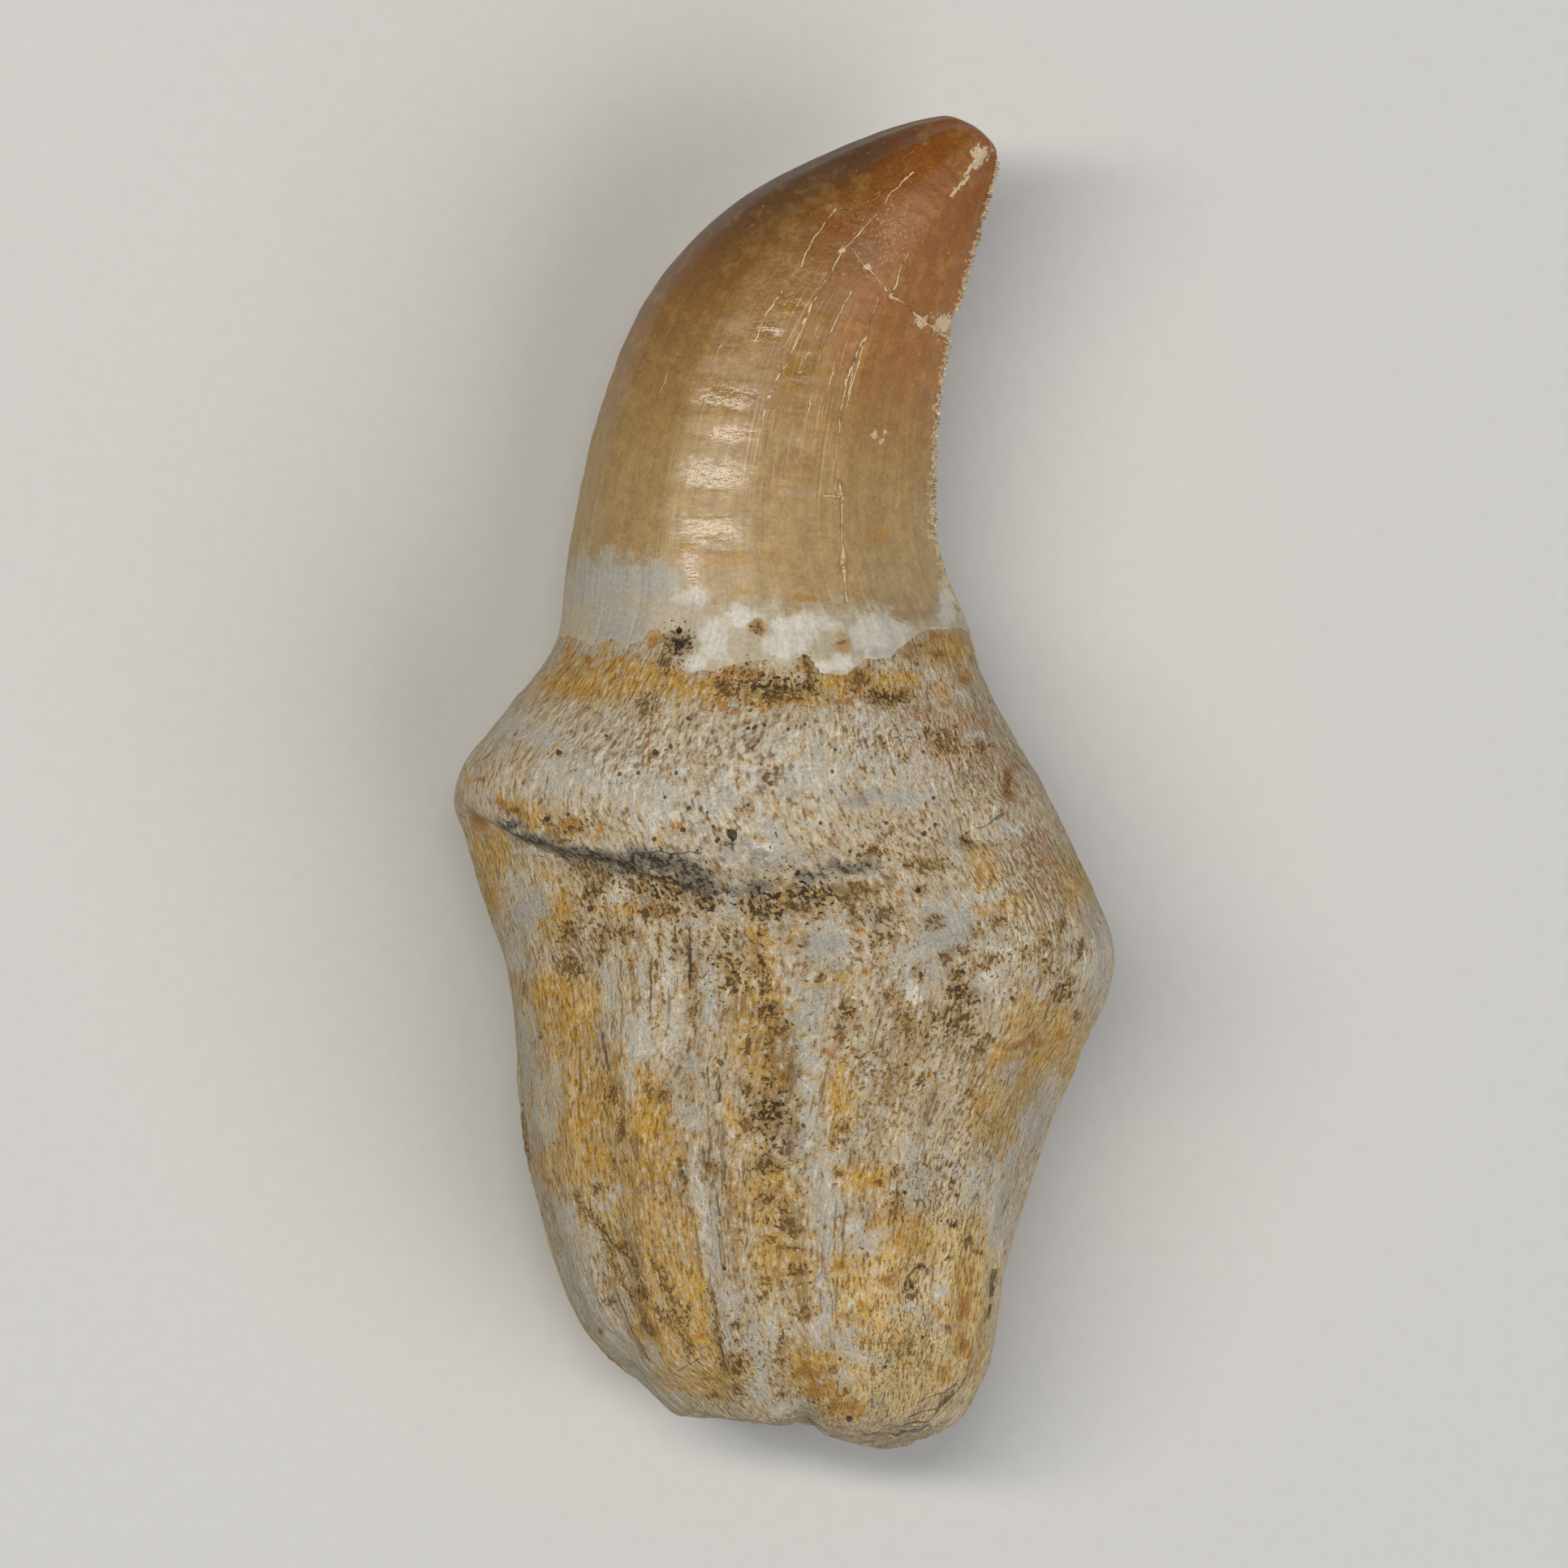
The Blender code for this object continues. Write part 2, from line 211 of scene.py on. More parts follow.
# Centre, half-lengths along X and Y, and height.
FRONT_FORMS = [
    ((12.4, -11.8), (4.2, 1.7), -0.8),  # hollow inside the bulge
    ((17.0, -9.0), (4.2, 4.2), 0.5),  # the bulge's crest
    ((12.6, -3.4), (1.8, 0.8), -0.6),  # nick under the hooked knob
    ((14.8, -1.4), (1.2, 0.7), 0.55),  # the hooked knob
    ((-2.6, -5.0), (2.2, 2.0), 0.5),  # swelling at the middle of the lip
    ((-7.2, 10.4), (1.6, 1.5), -0.35),  # spongy spots below the enamel
    ((-0.6, 6.9), (3.2, 1.2), -0.35),
    ((6.9, 6.3), (2.4, 1.1), -0.3),
    ((8.7, -33.8), (1.3, 1.3), -0.4),  # round pit near the root's end
    ((-1.4, -22.0), (1.9, 8.5), -0.7),  # the trough down the middle
    ((17.8, -22.5), (2.4, 6.5), -0.6),  # the smooth face below the bulge
]
# x at the top, x at the bottom, half-width and height.
ROOT_RIBS = [
    (-16.2, -12.4, 1.3, 0.20),
    (-13.2, -10.3, 1.1, -0.35),
    (-10.2, -8.0, 1.4, 0.35),
    (-7.4, -4.6, 1.0, -0.45),
    (-4.9, -3.0, 1.1, 0.35),
    (0.9, 2.1, 1.1, 0.50),
    (3.9, 4.3, 1.2, -0.30),
    (7.6, 6.8, 1.8, 0.25),
    (11.8, 9.8, 1.3, -0.25),
]
RIBS_TOP_Y = -9.5
RIBS_BOTTOM_Y = -40.5
RIBS_FADE = 2.5
BACK_RIBS = 0.6
CLEFT_X = 1.3
CLEFT_TOP_Y = -36.0
CLEFT_HALF_WIDTH = 1.1
CLEFT_DEPTH = 0.8
CROWN_FACETS = 12
CROWN_FACET_HEIGHT = 0.16
FACET_ROUNDING = 0.3
SINE_ARCH_MEAN = 2 / np.pi
LUMP_HEIGHT = 0.16
LUMP_X, LUMP_Y = 3.1, 4.3  # mm for each radian of the first wave
LUMP_X_START, LUMP_Y_START = 0.7, 1.9  # in radians
LUMP_Z, LUMP_X_LEAN, LUMP_Y_SHORT = 3.7, 5.3, 2.9  # mm for each radian of the second wave
print("forms on the front:", len(FRONT_FORMS), "hollows and swellings,", len(ROOT_RIBS), "ribs")


# %% Each form as a height
def ledge_foot(x):
    """How far along Y the ledge's foot lies at x, its step there, and the width of its slope."""
    foot_x = [point[0] for point, _, _ in LEDGE]
    foot_y = np.interp(x, foot_x, [point[1] for point, _, _ in LEDGE])
    step = np.interp(x, foot_x, [height for _, height, _ in LEDGE])
    return foot_y, step, np.interp(x, foot_x, [width for _, _, width in LEDGE])


def lip(share):
    """A straight ramp from -1/2 to 1/2 over the lip, its two corners rounded as hyperbolas are."""
    foot, edge = np.hypot(share, LEDGE_ROUNDING), np.hypot(share - 1, LEDGE_ROUNDING)
    return (foot - edge) / 2


def ledge_fade(over):
    """The ledge dies away as a bell, slowly above its foot and sooner below it."""
    return np.where(over > 0, bell(over, LEDGE_FADE_UP), bell(over, LEDGE_FADE_DOWN))


def rib_height(x, y):
    """The sum of bells across x whose centres lean from their top place to their bottom place."""
    down = np.clip((RIBS_TOP_Y - y) / (RIBS_TOP_Y - RIBS_BOTTOM_Y), 0.0, 1.0)
    total = np.zeros_like(x)
    for top_x, bottom_x, half_width, height in ROOT_RIBS:
        total += height * bell(x - (top_x + (bottom_x - top_x) * down), half_width)
    start = 1 - rise(y, RIBS_TOP_Y - RIBS_FADE, RIBS_TOP_Y + RIBS_FADE)
    end = rise(y, RIBS_BOTTOM_Y - RIBS_FADE, RIBS_BOTTOM_Y + RIBS_FADE)
    return total * start * end


def front_height(x, y):
    """The side that looks up: the ledge's step, the ribs, and a bell for each hollow or swelling."""
    foot_y, step, width = ledge_foot(x)
    total = step * lip((y - foot_y) / width) * ledge_fade(y - foot_y) + rib_height(x, y)
    for (centre_x, centre_y), (half_x, half_y), height in FRONT_FORMS:
        total += height * bell(x - centre_x, half_x) * bell(y - centre_y, half_y)
    return total


def back_height(x, y):
    """The side that lies down: a lower ledge along a wavy line, over lower ribs."""
    over = y - BACK_LEDGE_Y - BACK_LEDGE_WAVE * np.sin(x / BACK_LEDGE_SWING)
    step = BACK_LEDGE_STEP * lip(over / BACK_LEDGE_WIDTH) * ledge_fade(over)
    return step + BACK_RIBS * rib_height(-x, y)


def cleft_height(x, y):
    """A bell across x that deepens towards the root's end."""
    depth = CLEFT_DEPTH * (1 - rise(y, STATIONS[-1][0][1], CLEFT_TOP_Y))
    return -depth * bell(x - CLEFT_X, CLEFT_HALF_WIDTH)


def crown_facets(angles):
    """Arches round the crown, taken off at their mean, which leave flat bands and low, worn ridges.

    Each arch is the root of a sine squared and the rounding squared.
    """
    arches = np.hypot(np.sin(CROWN_FACETS * angles / 2), FACET_ROUNDING)
    return CROWN_FACET_HEIGHT * (SINE_ARCH_MEAN - arches)[None]


def lump_height(x, y, z):
    """Slow unevenness from a few crossing sine waves."""
    first = np.sin(x / LUMP_X + LUMP_X_START) * np.sin(y / LUMP_Y + LUMP_Y_START)
    second = np.sin(z / LUMP_Z + x / LUMP_X_LEAN) * np.sin(y / LUMP_Y_SHORT)
    return LUMP_HEIGHT * (first + second)


print("the ledge steps up by", max(step for _, step, _ in LEDGE), "mm at most")

# %% [markdown]
# Noise that is the same each run.
# Bone and enamel are never even. Blender's textures can only shade them, so the part of the
# unevenness that is deep enough to see at the outline is worked out here as real height. Lattice
# noise does that: fixed random values at whole-number places, eased between. Stretching the places
# along the tooth turns round lumps into fibres.

# %% Lattice noise
NOISE_SEED = 7
NOISE_VALUES = 4096
HASH_FACTORS = (73856093, 19349663, 83492791)  # large primes, so that no pattern repeats
SEED_FACTOR = 40503
noise_table = np.random.default_rng(NOISE_SEED).random(NOISE_VALUES)


def lattice_noise(places, size, seed=0):
    """Noise from -1 to 1: the eight corners of a cell, each weighted by 3u² - 2u³ along each axis.

    The size is a cell's size in millimetres, one number or one for each axis.
    """
    scaled = places / np.asarray(size, float)
    cell = np.floor(scaled).astype(np.int64)
    share = scaled - cell
    ease = share * share * (3 - 2 * share)
    total = np.zeros(scaled.shape[:-1])
    for corner in itertools.product((0, 1), repeat=3):
        key = np.full(total.shape, seed * SEED_FACTOR, np.int64)
        weight = np.ones_like(total)
        for axis, side in enumerate(corner):
            key ^= (cell[..., axis] + side) * HASH_FACTORS[axis]
            weight *= ease[..., axis] if side else 1 - ease[..., axis]
        total += weight * noise_table[key % NOISE_VALUES]
    return 2 * total - 1


def rough_noise(places, size, octaves, seed=0):
    """Lattice noise on itself: each next layer has half the size and half the height."""
    layers = [
        lattice_noise(places, np.asarray(size, float) / 2**step, seed + step) / 2**step
        for step in range(octaves)
    ]
    return sum(layers)


SAMPLE_SEED = 1
SAMPLE_POINTS = 2000
SAMPLE_SIDE = 50  # mm
sample_places = np.random.default_rng(SAMPLE_SEED).random((SAMPLE_POINTS, 3)) * SAMPLE_SIDE
sample = lattice_noise(sample_places, 1.0)
print("lattice noise runs from", round(sample.min(), 2), "to", round(sample.max(), 2))

# %% [markdown]
# Where the stains, pores and cracks lie.
# Colour on a fossil isn't random: grey mineral, golden iron stain and brown crumbly bone each have their
# places, which anyone who knows the specimen would look for. They are set down as plain patches and streaks,
# in millimetres on the plan of the tooth. Some patches paint light and shade instead: shade in the crevice
# under the ledge and in hollows, highlights on a knob and on a slope, and light on the root's turned-down
# end. Nodes break up their edges later.

# %% Mineral and iron stains on the front
# Every patch is x, y and half-lengths along X and Y. Cool or pale mineral:
GREY_PATCHES = [
    (-18.6, 3.9, 1.7, 1.9), (-16.2, 3, 1.8, 1.2), (-20, -1.1, 0.9, 0.7), (-13, 0.4, 4.2, 1.7),
    (-8.2, -1, 3.2, 2), (-3.8, -0.6, 1.6, 1.9), (1, 0.8, 4, 2), (6.2, 1.2, 2.4, 1), (8.2, -0.8, 2.4, 0.8),
    (-0.6, -3.7, 1.5, 1.2), (1, -4.7, 1.6, 0.5), (5.6, 4.2, 1.3, 0.8), (8.6, 3.2, 0.9, 1.1),
    (12.8, 3.4, 0.6, 0.4), (15.4, -2.6, 0.9, 0.7), (14.5, -3.4, 0.6, 0.5), (11.4, -4.2, 0.5, 1),
    (12.1, -5.2, 0.4, 0.4), (11.8, 6.2, 0.9, 0.6), (9.8, 7.5, 0.6, 0.6), (-17.3, -8, 1.3, 2.2),
    (-18, -11.4, 0.6, 1.4), (-17.6, -18, 0.7, 4), (-16, -20.3, 1.5, 1.8), (-16.2, -22.5, 1.2, 1.5),
    (-12.3, -12.3, 0.7, 1.1), (-11.4, -12.5, 0.3, 1.4), (-11.2, -6.9, 1.3, 1), (-9.6, -12.5, 0.4, 1.8),
    (-8, -12, 0.8, 1.3), (-7.7, -13.6, 0.9, 1.6), (-7.5, -16, 0.8, 1.4), (-9.7, -16.8, 1, 2),
    (-10.2, -19.6, 0.5, 1.1), (-6.3, -18.8, 0.7, 0.8), (-6.2, -22, 0.9, 1.3), (-5.5, -12, 0.4, 2.5),
    (-5.2, -15, 0.4, 1.5), (-6.3, -8.7, 0.8, 1), (-3.7, -8, 1.2, 1.6), (3, -9.2, 1.5, 0.8),
    (3.3, -11, 1.7, 1.3), (8.3, -11.6, 1, 0.9), (1.6, -15.5, 0.9, 1.8), (1.6, -20, 0.8, 3.5),
    (0.7, -13.2, 0.3, 0.8), (-5.2, -13, 0.5, 3.5), (11, -8.3, 1.8, 1.1), (10.5, -10.2, 1.8, 0.8),
    (9.5, -11.3, 1.5, 0.6), (13.5, -10.5, 1.5, 0.5), (10, -12.5, 1.2, 0.8), (8.8, -13.8, 1, 0.9),
    (14, -12.8, 1.2, 0.8), (13.3, -13.3, 0.7, 0.6), (15.3, -11.8, 0.4, 0.4), (16.5, -12.5, 0.4, 0.4),
    (17.2, -13.8, 0.6, 0.6), (21.2, -11.5, 0.9, 3.5), (18.3, -21.5, 0.5, 2), (17, -23, 0.8, 1.2),
    (15.6, -26, 0.9, 2), (14.6, -29, 0.8, 2.4), (-14.2, -29.5, 1, 1.6), (-13.5, -31, 1.3, 1.1),
    (-13.3, -33.3, 1, 1.5), (-12.3, -35.5, 1, 1), (-11.5, -37.5, 1.2, 1), (-9.3, -38.5, 0.7, 0.9),
    (-8.8, -37.8, 0.6, 0.8), (-7.2, -41.3, 1, 0.6), (-16.7, -28.5, 0.5, 2), (2.8, -27.3, 1.3, 1.6),
    (4.8, -29.6, 0.8, 0.7), (5.5, -30.4, 1.2, 0.7), (2.5, -36, 0.8, 1.3), (4, -37.5, 1, 1),
    (5.4, -38.3, 1.1, 0.6), (8.2, -35.2, 1.1, 0.6), (10.7, -33.9, 0.8, 0.8), (8.5, -24.8, 0.8, 0.8),
    (8.8, -26.8, 1.1, 1), (10.8, -24.5, 0.6, 0.6), (-0.9, -36.5, 0.7, 1), (-1.9, -37.2, 0.6, 0.9),
    (0.5, -42, 1.5, 0.6), (4, -39.8, 0.8, 0.7), (0, -33.9, 0.8, 0.7), (-4, -35.2, 1.1, 1.8),
    (12.6, -26.5, 1.4, 1.6), (8.2, 0.9, 2.6, 0.7), (12.8, -7.6, 1.6, 0.5),
]
# The palest mineral, with painted highlights on the hooked knob and on the lit lower slope of the hollow
# inside the bulge:
WHITE_MINERAL_AND_HIGHLIGHTS = [
    (-9.4, -17.8, 0.8, 0.3), (-7.6, -17.9, 0.9, 0.5), (-5.6, -28.8, 0.4, 1.8), (-5.2, -31, 0.4, 1.2),
    (7.7, -12.8, 0.6, 0.5), (8.6, -14, 0.6, 1.1), (14.2, -11.3, 1, 0.6), (14.3, -14.2, 0.8, 0.7),
    (14.5, -1.3, 0.6, 0.22), (-3.8, -4.9, 0.6, 0.7), (-3, -25.7, 0.5, 0.5), (0.3, -33.6, 0.6, 0.5),
    (4.4, -34.8, 0.4, 0.7), (8.2, -35.1, 0.9, 0.5), (10.7, -33.9, 0.6, 0.6), (5.4, -38.4, 0.8, 0.4),
    (5.3, -23.2, 0.8, 0.7), (4.7, -29.5, 0.6, 0.5), (6, -32.4, 0.6, 0.4), (-6, -25.6, 0.4, 1.2),
    (2.4, -33.2, 0.3, 1.4), (1.7, -24, 0.4, 0.6), (-11.2, -6.9, 0.8, 0.6), (-15.9, -7, 0.6, 0.8),
    (-9.2, -14, 0.3, 1.4), (-7.9, -12.4, 0.4, 1.2), (3.2, -10.9, 0.9, 0.6), (13.9, -12.7, 0.7, 0.4),
    (0.5, -26.9, 0.4, 0.4), (3.3, -26.5, 0.8, 0.6), (15.6, -2.8, 0.6, 0.4), (2.4, 4.2, 0.3, 0.2),
    (19, -9.4, 0.5, 0.7), (20.3, -11.8, 0.4, 1), (18.2, -13.8, 0.5, 0.4), (17.4, -11.2, 0.4, 0.6),
    (10.5, 9.2, 0.6, 0.4), (11, 7.3, 0.7, 0.4), (12.2, 8.4, 0.4, 0.5), (11.6, 6.6, 0.9, 0.5),
    (9.9, 7.6, 0.5, 0.4), (-2.4, -4.9, 1.2, 0.5), (-1.2, -4.2, 0.8, 0.5),
]
# Iron stains, golden, broadly ochre, and rusty:
GOLD_PATCHES = [
    (-11, 8.3, 2.2, 0.6), (-12, 9.4, 0.5, 0.6), (-9, 7.7, 1.5, 0.6), (-15.3, 6.8, 1, 0.8),
    (-14.5, 9, 0.5, 1.2), (-14, 6.5, 2, 0.9), (-10.5, 6.6, 2.5, 0.8), (-7.5, 6.8, 1, 0.8),
    (-5, 6.5, 1.5, 0.9), (-4, 6.8, 1.2, 1), (0, 5.8, 3, 0.5), (3.5, 6.7, 1.4, 0.6), (6.8, 6.9, 1, 0.5),
    (8.5, 7.2, 1.2, 0.4), (11.2, 9, 1.2, 1.3), (12.3, 7, 0.7, 0.6), (10.3, 6.1, 0.7, 0.5),
    (-17.6, -1.3, 1.9, 0.8), (-15.6, -2.1, 1.6, 0.8), (-14, -2.6, 1.4, 0.9), (-14.8, -3.2, 0.7, 0.5),
    (-12.5, -3.1, 0.8, 0.6), (-7, -2.7, 0.7, 0.5), (-7.8, -3.3, 0.4, 0.5), (-7, -1.2, 0.4, 0.5),
    (-21.2, 0.3, 0.5, 0.8), (-20.7, -2, 0.5, 1.2), (-20.3, -4.8, 0.8, 1.9), (-19.9, -7.5, 0.6, 1.6),
    (-15.5, -8.2, 0.9, 1.3), (-10.8, -8.3, 1.5, 0.5), (-9.8, -11.8, 0.6, 0.9), (-15.5, -13.8, 1.8, 1),
    (-13.9, -15.8, 1.4, 1.6), (-13.6, -16.8, 0.9, 0.4), (-13.2, -20.5, 1.4, 1.8), (-13.2, -22, 1.2, 1),
    (-8.6, -21.5, 1.3, 1.6), (-8.9, -23.3, 1.6, 1), (-14.2, -23.6, 0.8, 0.6), (-2.4, -10, 0.6, 0.7),
    (0.8, -10, 0.5, 0.7), (5, -9.8, 0.5, 0.5), (7.7, -7.2, 0.4, 0.5), (3.6, -12.8, 0.6, 0.6),
    (1.3, -13.6, 0.5, 0.7), (-3.4, -21.8, 0.8, 1.4), (3.8, -20.8, 0.7, 1.6), (0.2, -19.4, 0.7, 0.6),
    (13.3, -5.8, 0.6, 1.1), (13.5, -8.2, 0.8, 0.6), (17.5, -5.3, 1, 0.4), (19.4, -6.7, 0.5, 0.6),
    (8.8, -9.4, 0.4, 0.4), (18.9, -16.9, 1, 0.6), (14.5, -17.5, 0.9, 0.6), (17.4, -20.8, 0.9, 1.2),
    (13.2, -21.3, 0.5, 0.8), (18, -18.5, 1.3, 1.2), (14.5, -18.2, 1.5, 0.7), (-12.5, -25, 1.4, 1),
    (-16.2, -25.2, 0.7, 1.3), (-15.8, -26.8, 0.6, 0.5), (-8.3, -25.3, 1.8, 1.2), (-9, -35.6, 1.2, 1),
    (-9, -37, 1.4, 0.8), (-5.9, -34, 0.8, 2.5), (-5.5, -37, 1, 0.6), (-6.6, -30, 0.5, 2.6),
    (2.6, -24.4, 0.7, 0.5), (4.9, -26.2, 1.3, 0.8), (6.4, -26.6, 0.5, 0.7), (5, -28.3, 0.6, 0.5),
    (8.2, -30.3, 1.5, 1.6), (3.8, -31.9, 0.8, 0.6), (4.6, -33, 1.1, 0.9), (6.9, -33, 1.3, 0.9),
    (5.4, -35, 0.6, 1.2), (12.2, -33, 0.8, 1), (12.3, -34.8, 0.7, 1.3), (12.2, -37.5, 0.6, 1.3),
    (10.7, -35.2, 0.6, 0.6), (11, -39.6, 0.8, 0.5), (8, -37.6, 1.2, 0.8), (1.8, -39, 2.3, 1.8),
    (2.5, -40.4, 1.5, 1.4), (3.3, -41.6, 1.2, 1), (4.8, -42.1, 0.9, 0.6), (-8.7, 9.8, 0.6, 0.6),
    (4, 9.5, 0.6, 0.8), (-1.7, 10.4, 0.6, 0.6),
]
OCHRE_PATCHES = [
    (-15.5, -8.5, 1.6, 2.4), (-15, -14.5, 2.6, 2.6), (-14, -20.5, 2.9, 3.6), (-10, -22.5, 2.7, 3),
    (-12, -25.5, 3.8, 1.8), (-9.5, -29.5, 3.2, 2.6), (-8, -33, 2.8, 2.6), (-7.5, -37, 2.8, 2.4),
    (-5.5, -39.5, 3.2, 1.8), (-1.6, -15, 1.8, 6), (-1.5, -27.5, 2.4, 3.2), (-0.8, -31.5, 1.8, 2.6),
    (5, -26.4, 1.8, 1.4), (3.8, -21, 1.3, 2.4), (8.3, -30.6, 2.6, 2.4), (4.8, -33, 2, 1.8),
    (6.5, -36, 2.5, 2.6), (8.6, -39.4, 2.6, 1.8), (12.2, -35.5, 1.2, 3.8), (12.5, -31, 1.4, 2),
    (18.5, -17.5, 2.5, 2.4), (17.2, -20.8, 1.5, 1.8), (19.6, -6.6, 1.8, 2.2), (15.6, -8.2, 1.4, 0.8),
    (17, -15.8, 2.6, 1.4), (-12.5, 7, 3.8, 1.5), (-7, 6.8, 2.6, 1.2), (0, 6.2, 3.6, 1),
    (3.6, 6.6, 1.7, 0.8), (7, 6.6, 1.8, 0.9), (10.8, 8.6, 1.7, 1.7), (13.2, -5.2, 1, 1.1),
    (-20, -5.5, 1.1, 3.2), (2.6, -39.8, 3, 2.8), (14.6, -22.5, 1.8, 2.6),
]
RUST_PATCHES = [
    (-13.2, 8.5, 0.4, 0.4), (-14.4, 7.8, 0.4, 0.6), (-3.9, 6.9, 0.9, 0.8), (-3.6, 5.4, 0.8, 0.5),
    (-2.3, 7.6, 1, 0.7), (1.4, 8, 0.5, 0.9), (5.2, 6.9, 0.9, 0.8), (4.3, 5.7, 1, 0.4),
    (8.3, 6.3, 0.5, 0.3), (8.9, 9.3, 0.5, 0.4), (10.2, 10, 0.4, 0.4), (10.4, 8.8, 0.6, 0.5),
    (8.8, 8.8, 0.3, 0.4), (10.6, 5.3, 0.6, 0.3), (12.3, 6.9, 0.6, 0.4), (-1.8, 10.5, 0.4, 0.7),
    (3.8, 9.6, 0.5, 0.3), (-8.8, 9.7, 0.4, 0.5), (-18.6, -1.2, 0.9, 0.4), (-14, -2.3, 0.9, 0.6),
    (-6.9, -2.6, 0.5, 0.4), (-12.3, -3, 0.5, 0.3), (-15.2, -2.8, 0.9, 0.35), (-17, -1.8, 0.6, 0.35),
    (-9.1, 3.2, 0.3, 1.2), (-0.9, 0.5, 0.6, 0.8), (-0.8, -0.3, 0.6, 0.3), (0.2, 0.3, 0.6, 0.12),
    (-20.9, -2.2, 0.4, 0.9), (-19.9, 0.1, 0.8, 0.15), (7.7, -7.2, 0.35, 0.4), (-7.9, -20.5, 0.5, 0.6),
    (0.2, -19.3, 0.6, 0.5), (5.3, -12.5, 0.4, 0.5), (3.5, -17.8, 0.5, 0.7), (17.5, -5.3, 0.8, 0.3),
    (17.6, -14.8, 0.7, 0.3), (16.2, -16.1, 0.6, 0.25), (18.9, -16.9, 0.8, 0.5), (16.3, -17.2, 2.4, 0.5),
    (12.8, -6, 0.4, 0.8), (15.2, 0, 0.4, 1.4), (16.8, -3.6, 0.4, 0.6), (17.7, -3.2, 0.4, 0.4),
    (10.7, -35.2, 0.4, 0.5), (10.2, -39, 0.4, 0.4), (12.3, -34.9, 0.5, 0.9), (12.2, -37.7, 0.4, 1),
    (1.5, -39.2, 1.1, 0.8), (2.4, -40.5, 0.8, 0.8), (2, -41, 0.7, 0.4), (3.3, -41.7, 0.6, 0.6),
    (4.8, -42, 0.7, 0.4), (-8.5, -36.3, 1, 0.5), (-9.6, -34.2, 0.7, 0.6), (-11.5, -33.2, 0.5, 0.3),
    (-15.9, -26.4, 0.5, 0.4), (-0.8, -18.3, 0.5, 0.9), (-5.4, -36.8, 0.9, 0.3), (6.9, -32.9, 0.7, 0.5),
    (-10.6, -31, 1, 0.4),
]
# Reddish tan, on the right of the collar:
PINK_PATCHES = [
    (12.5, 4, 1.8, 1.2), (11, 2.6, 1.6, 1.4), (13.6, 1.9, 1.3, 1.2), (15.2, 0.2, 0.8, 1.8),
    (9, 4.6, 1.6, 0.6), (17, -4.5, 1.2, 1.6), (17.2, -7, 1.4, 1.2), (9.6, 2, 2.4, 1.6),
]
print("mineral patches:", len(GREY_PATCHES + WHITE_MINERAL_AND_HIGHLIGHTS), "and iron stains:",
      len(GOLD_PATCHES + OCHRE_PATCHES + RUST_PATCHES + PINK_PATCHES))

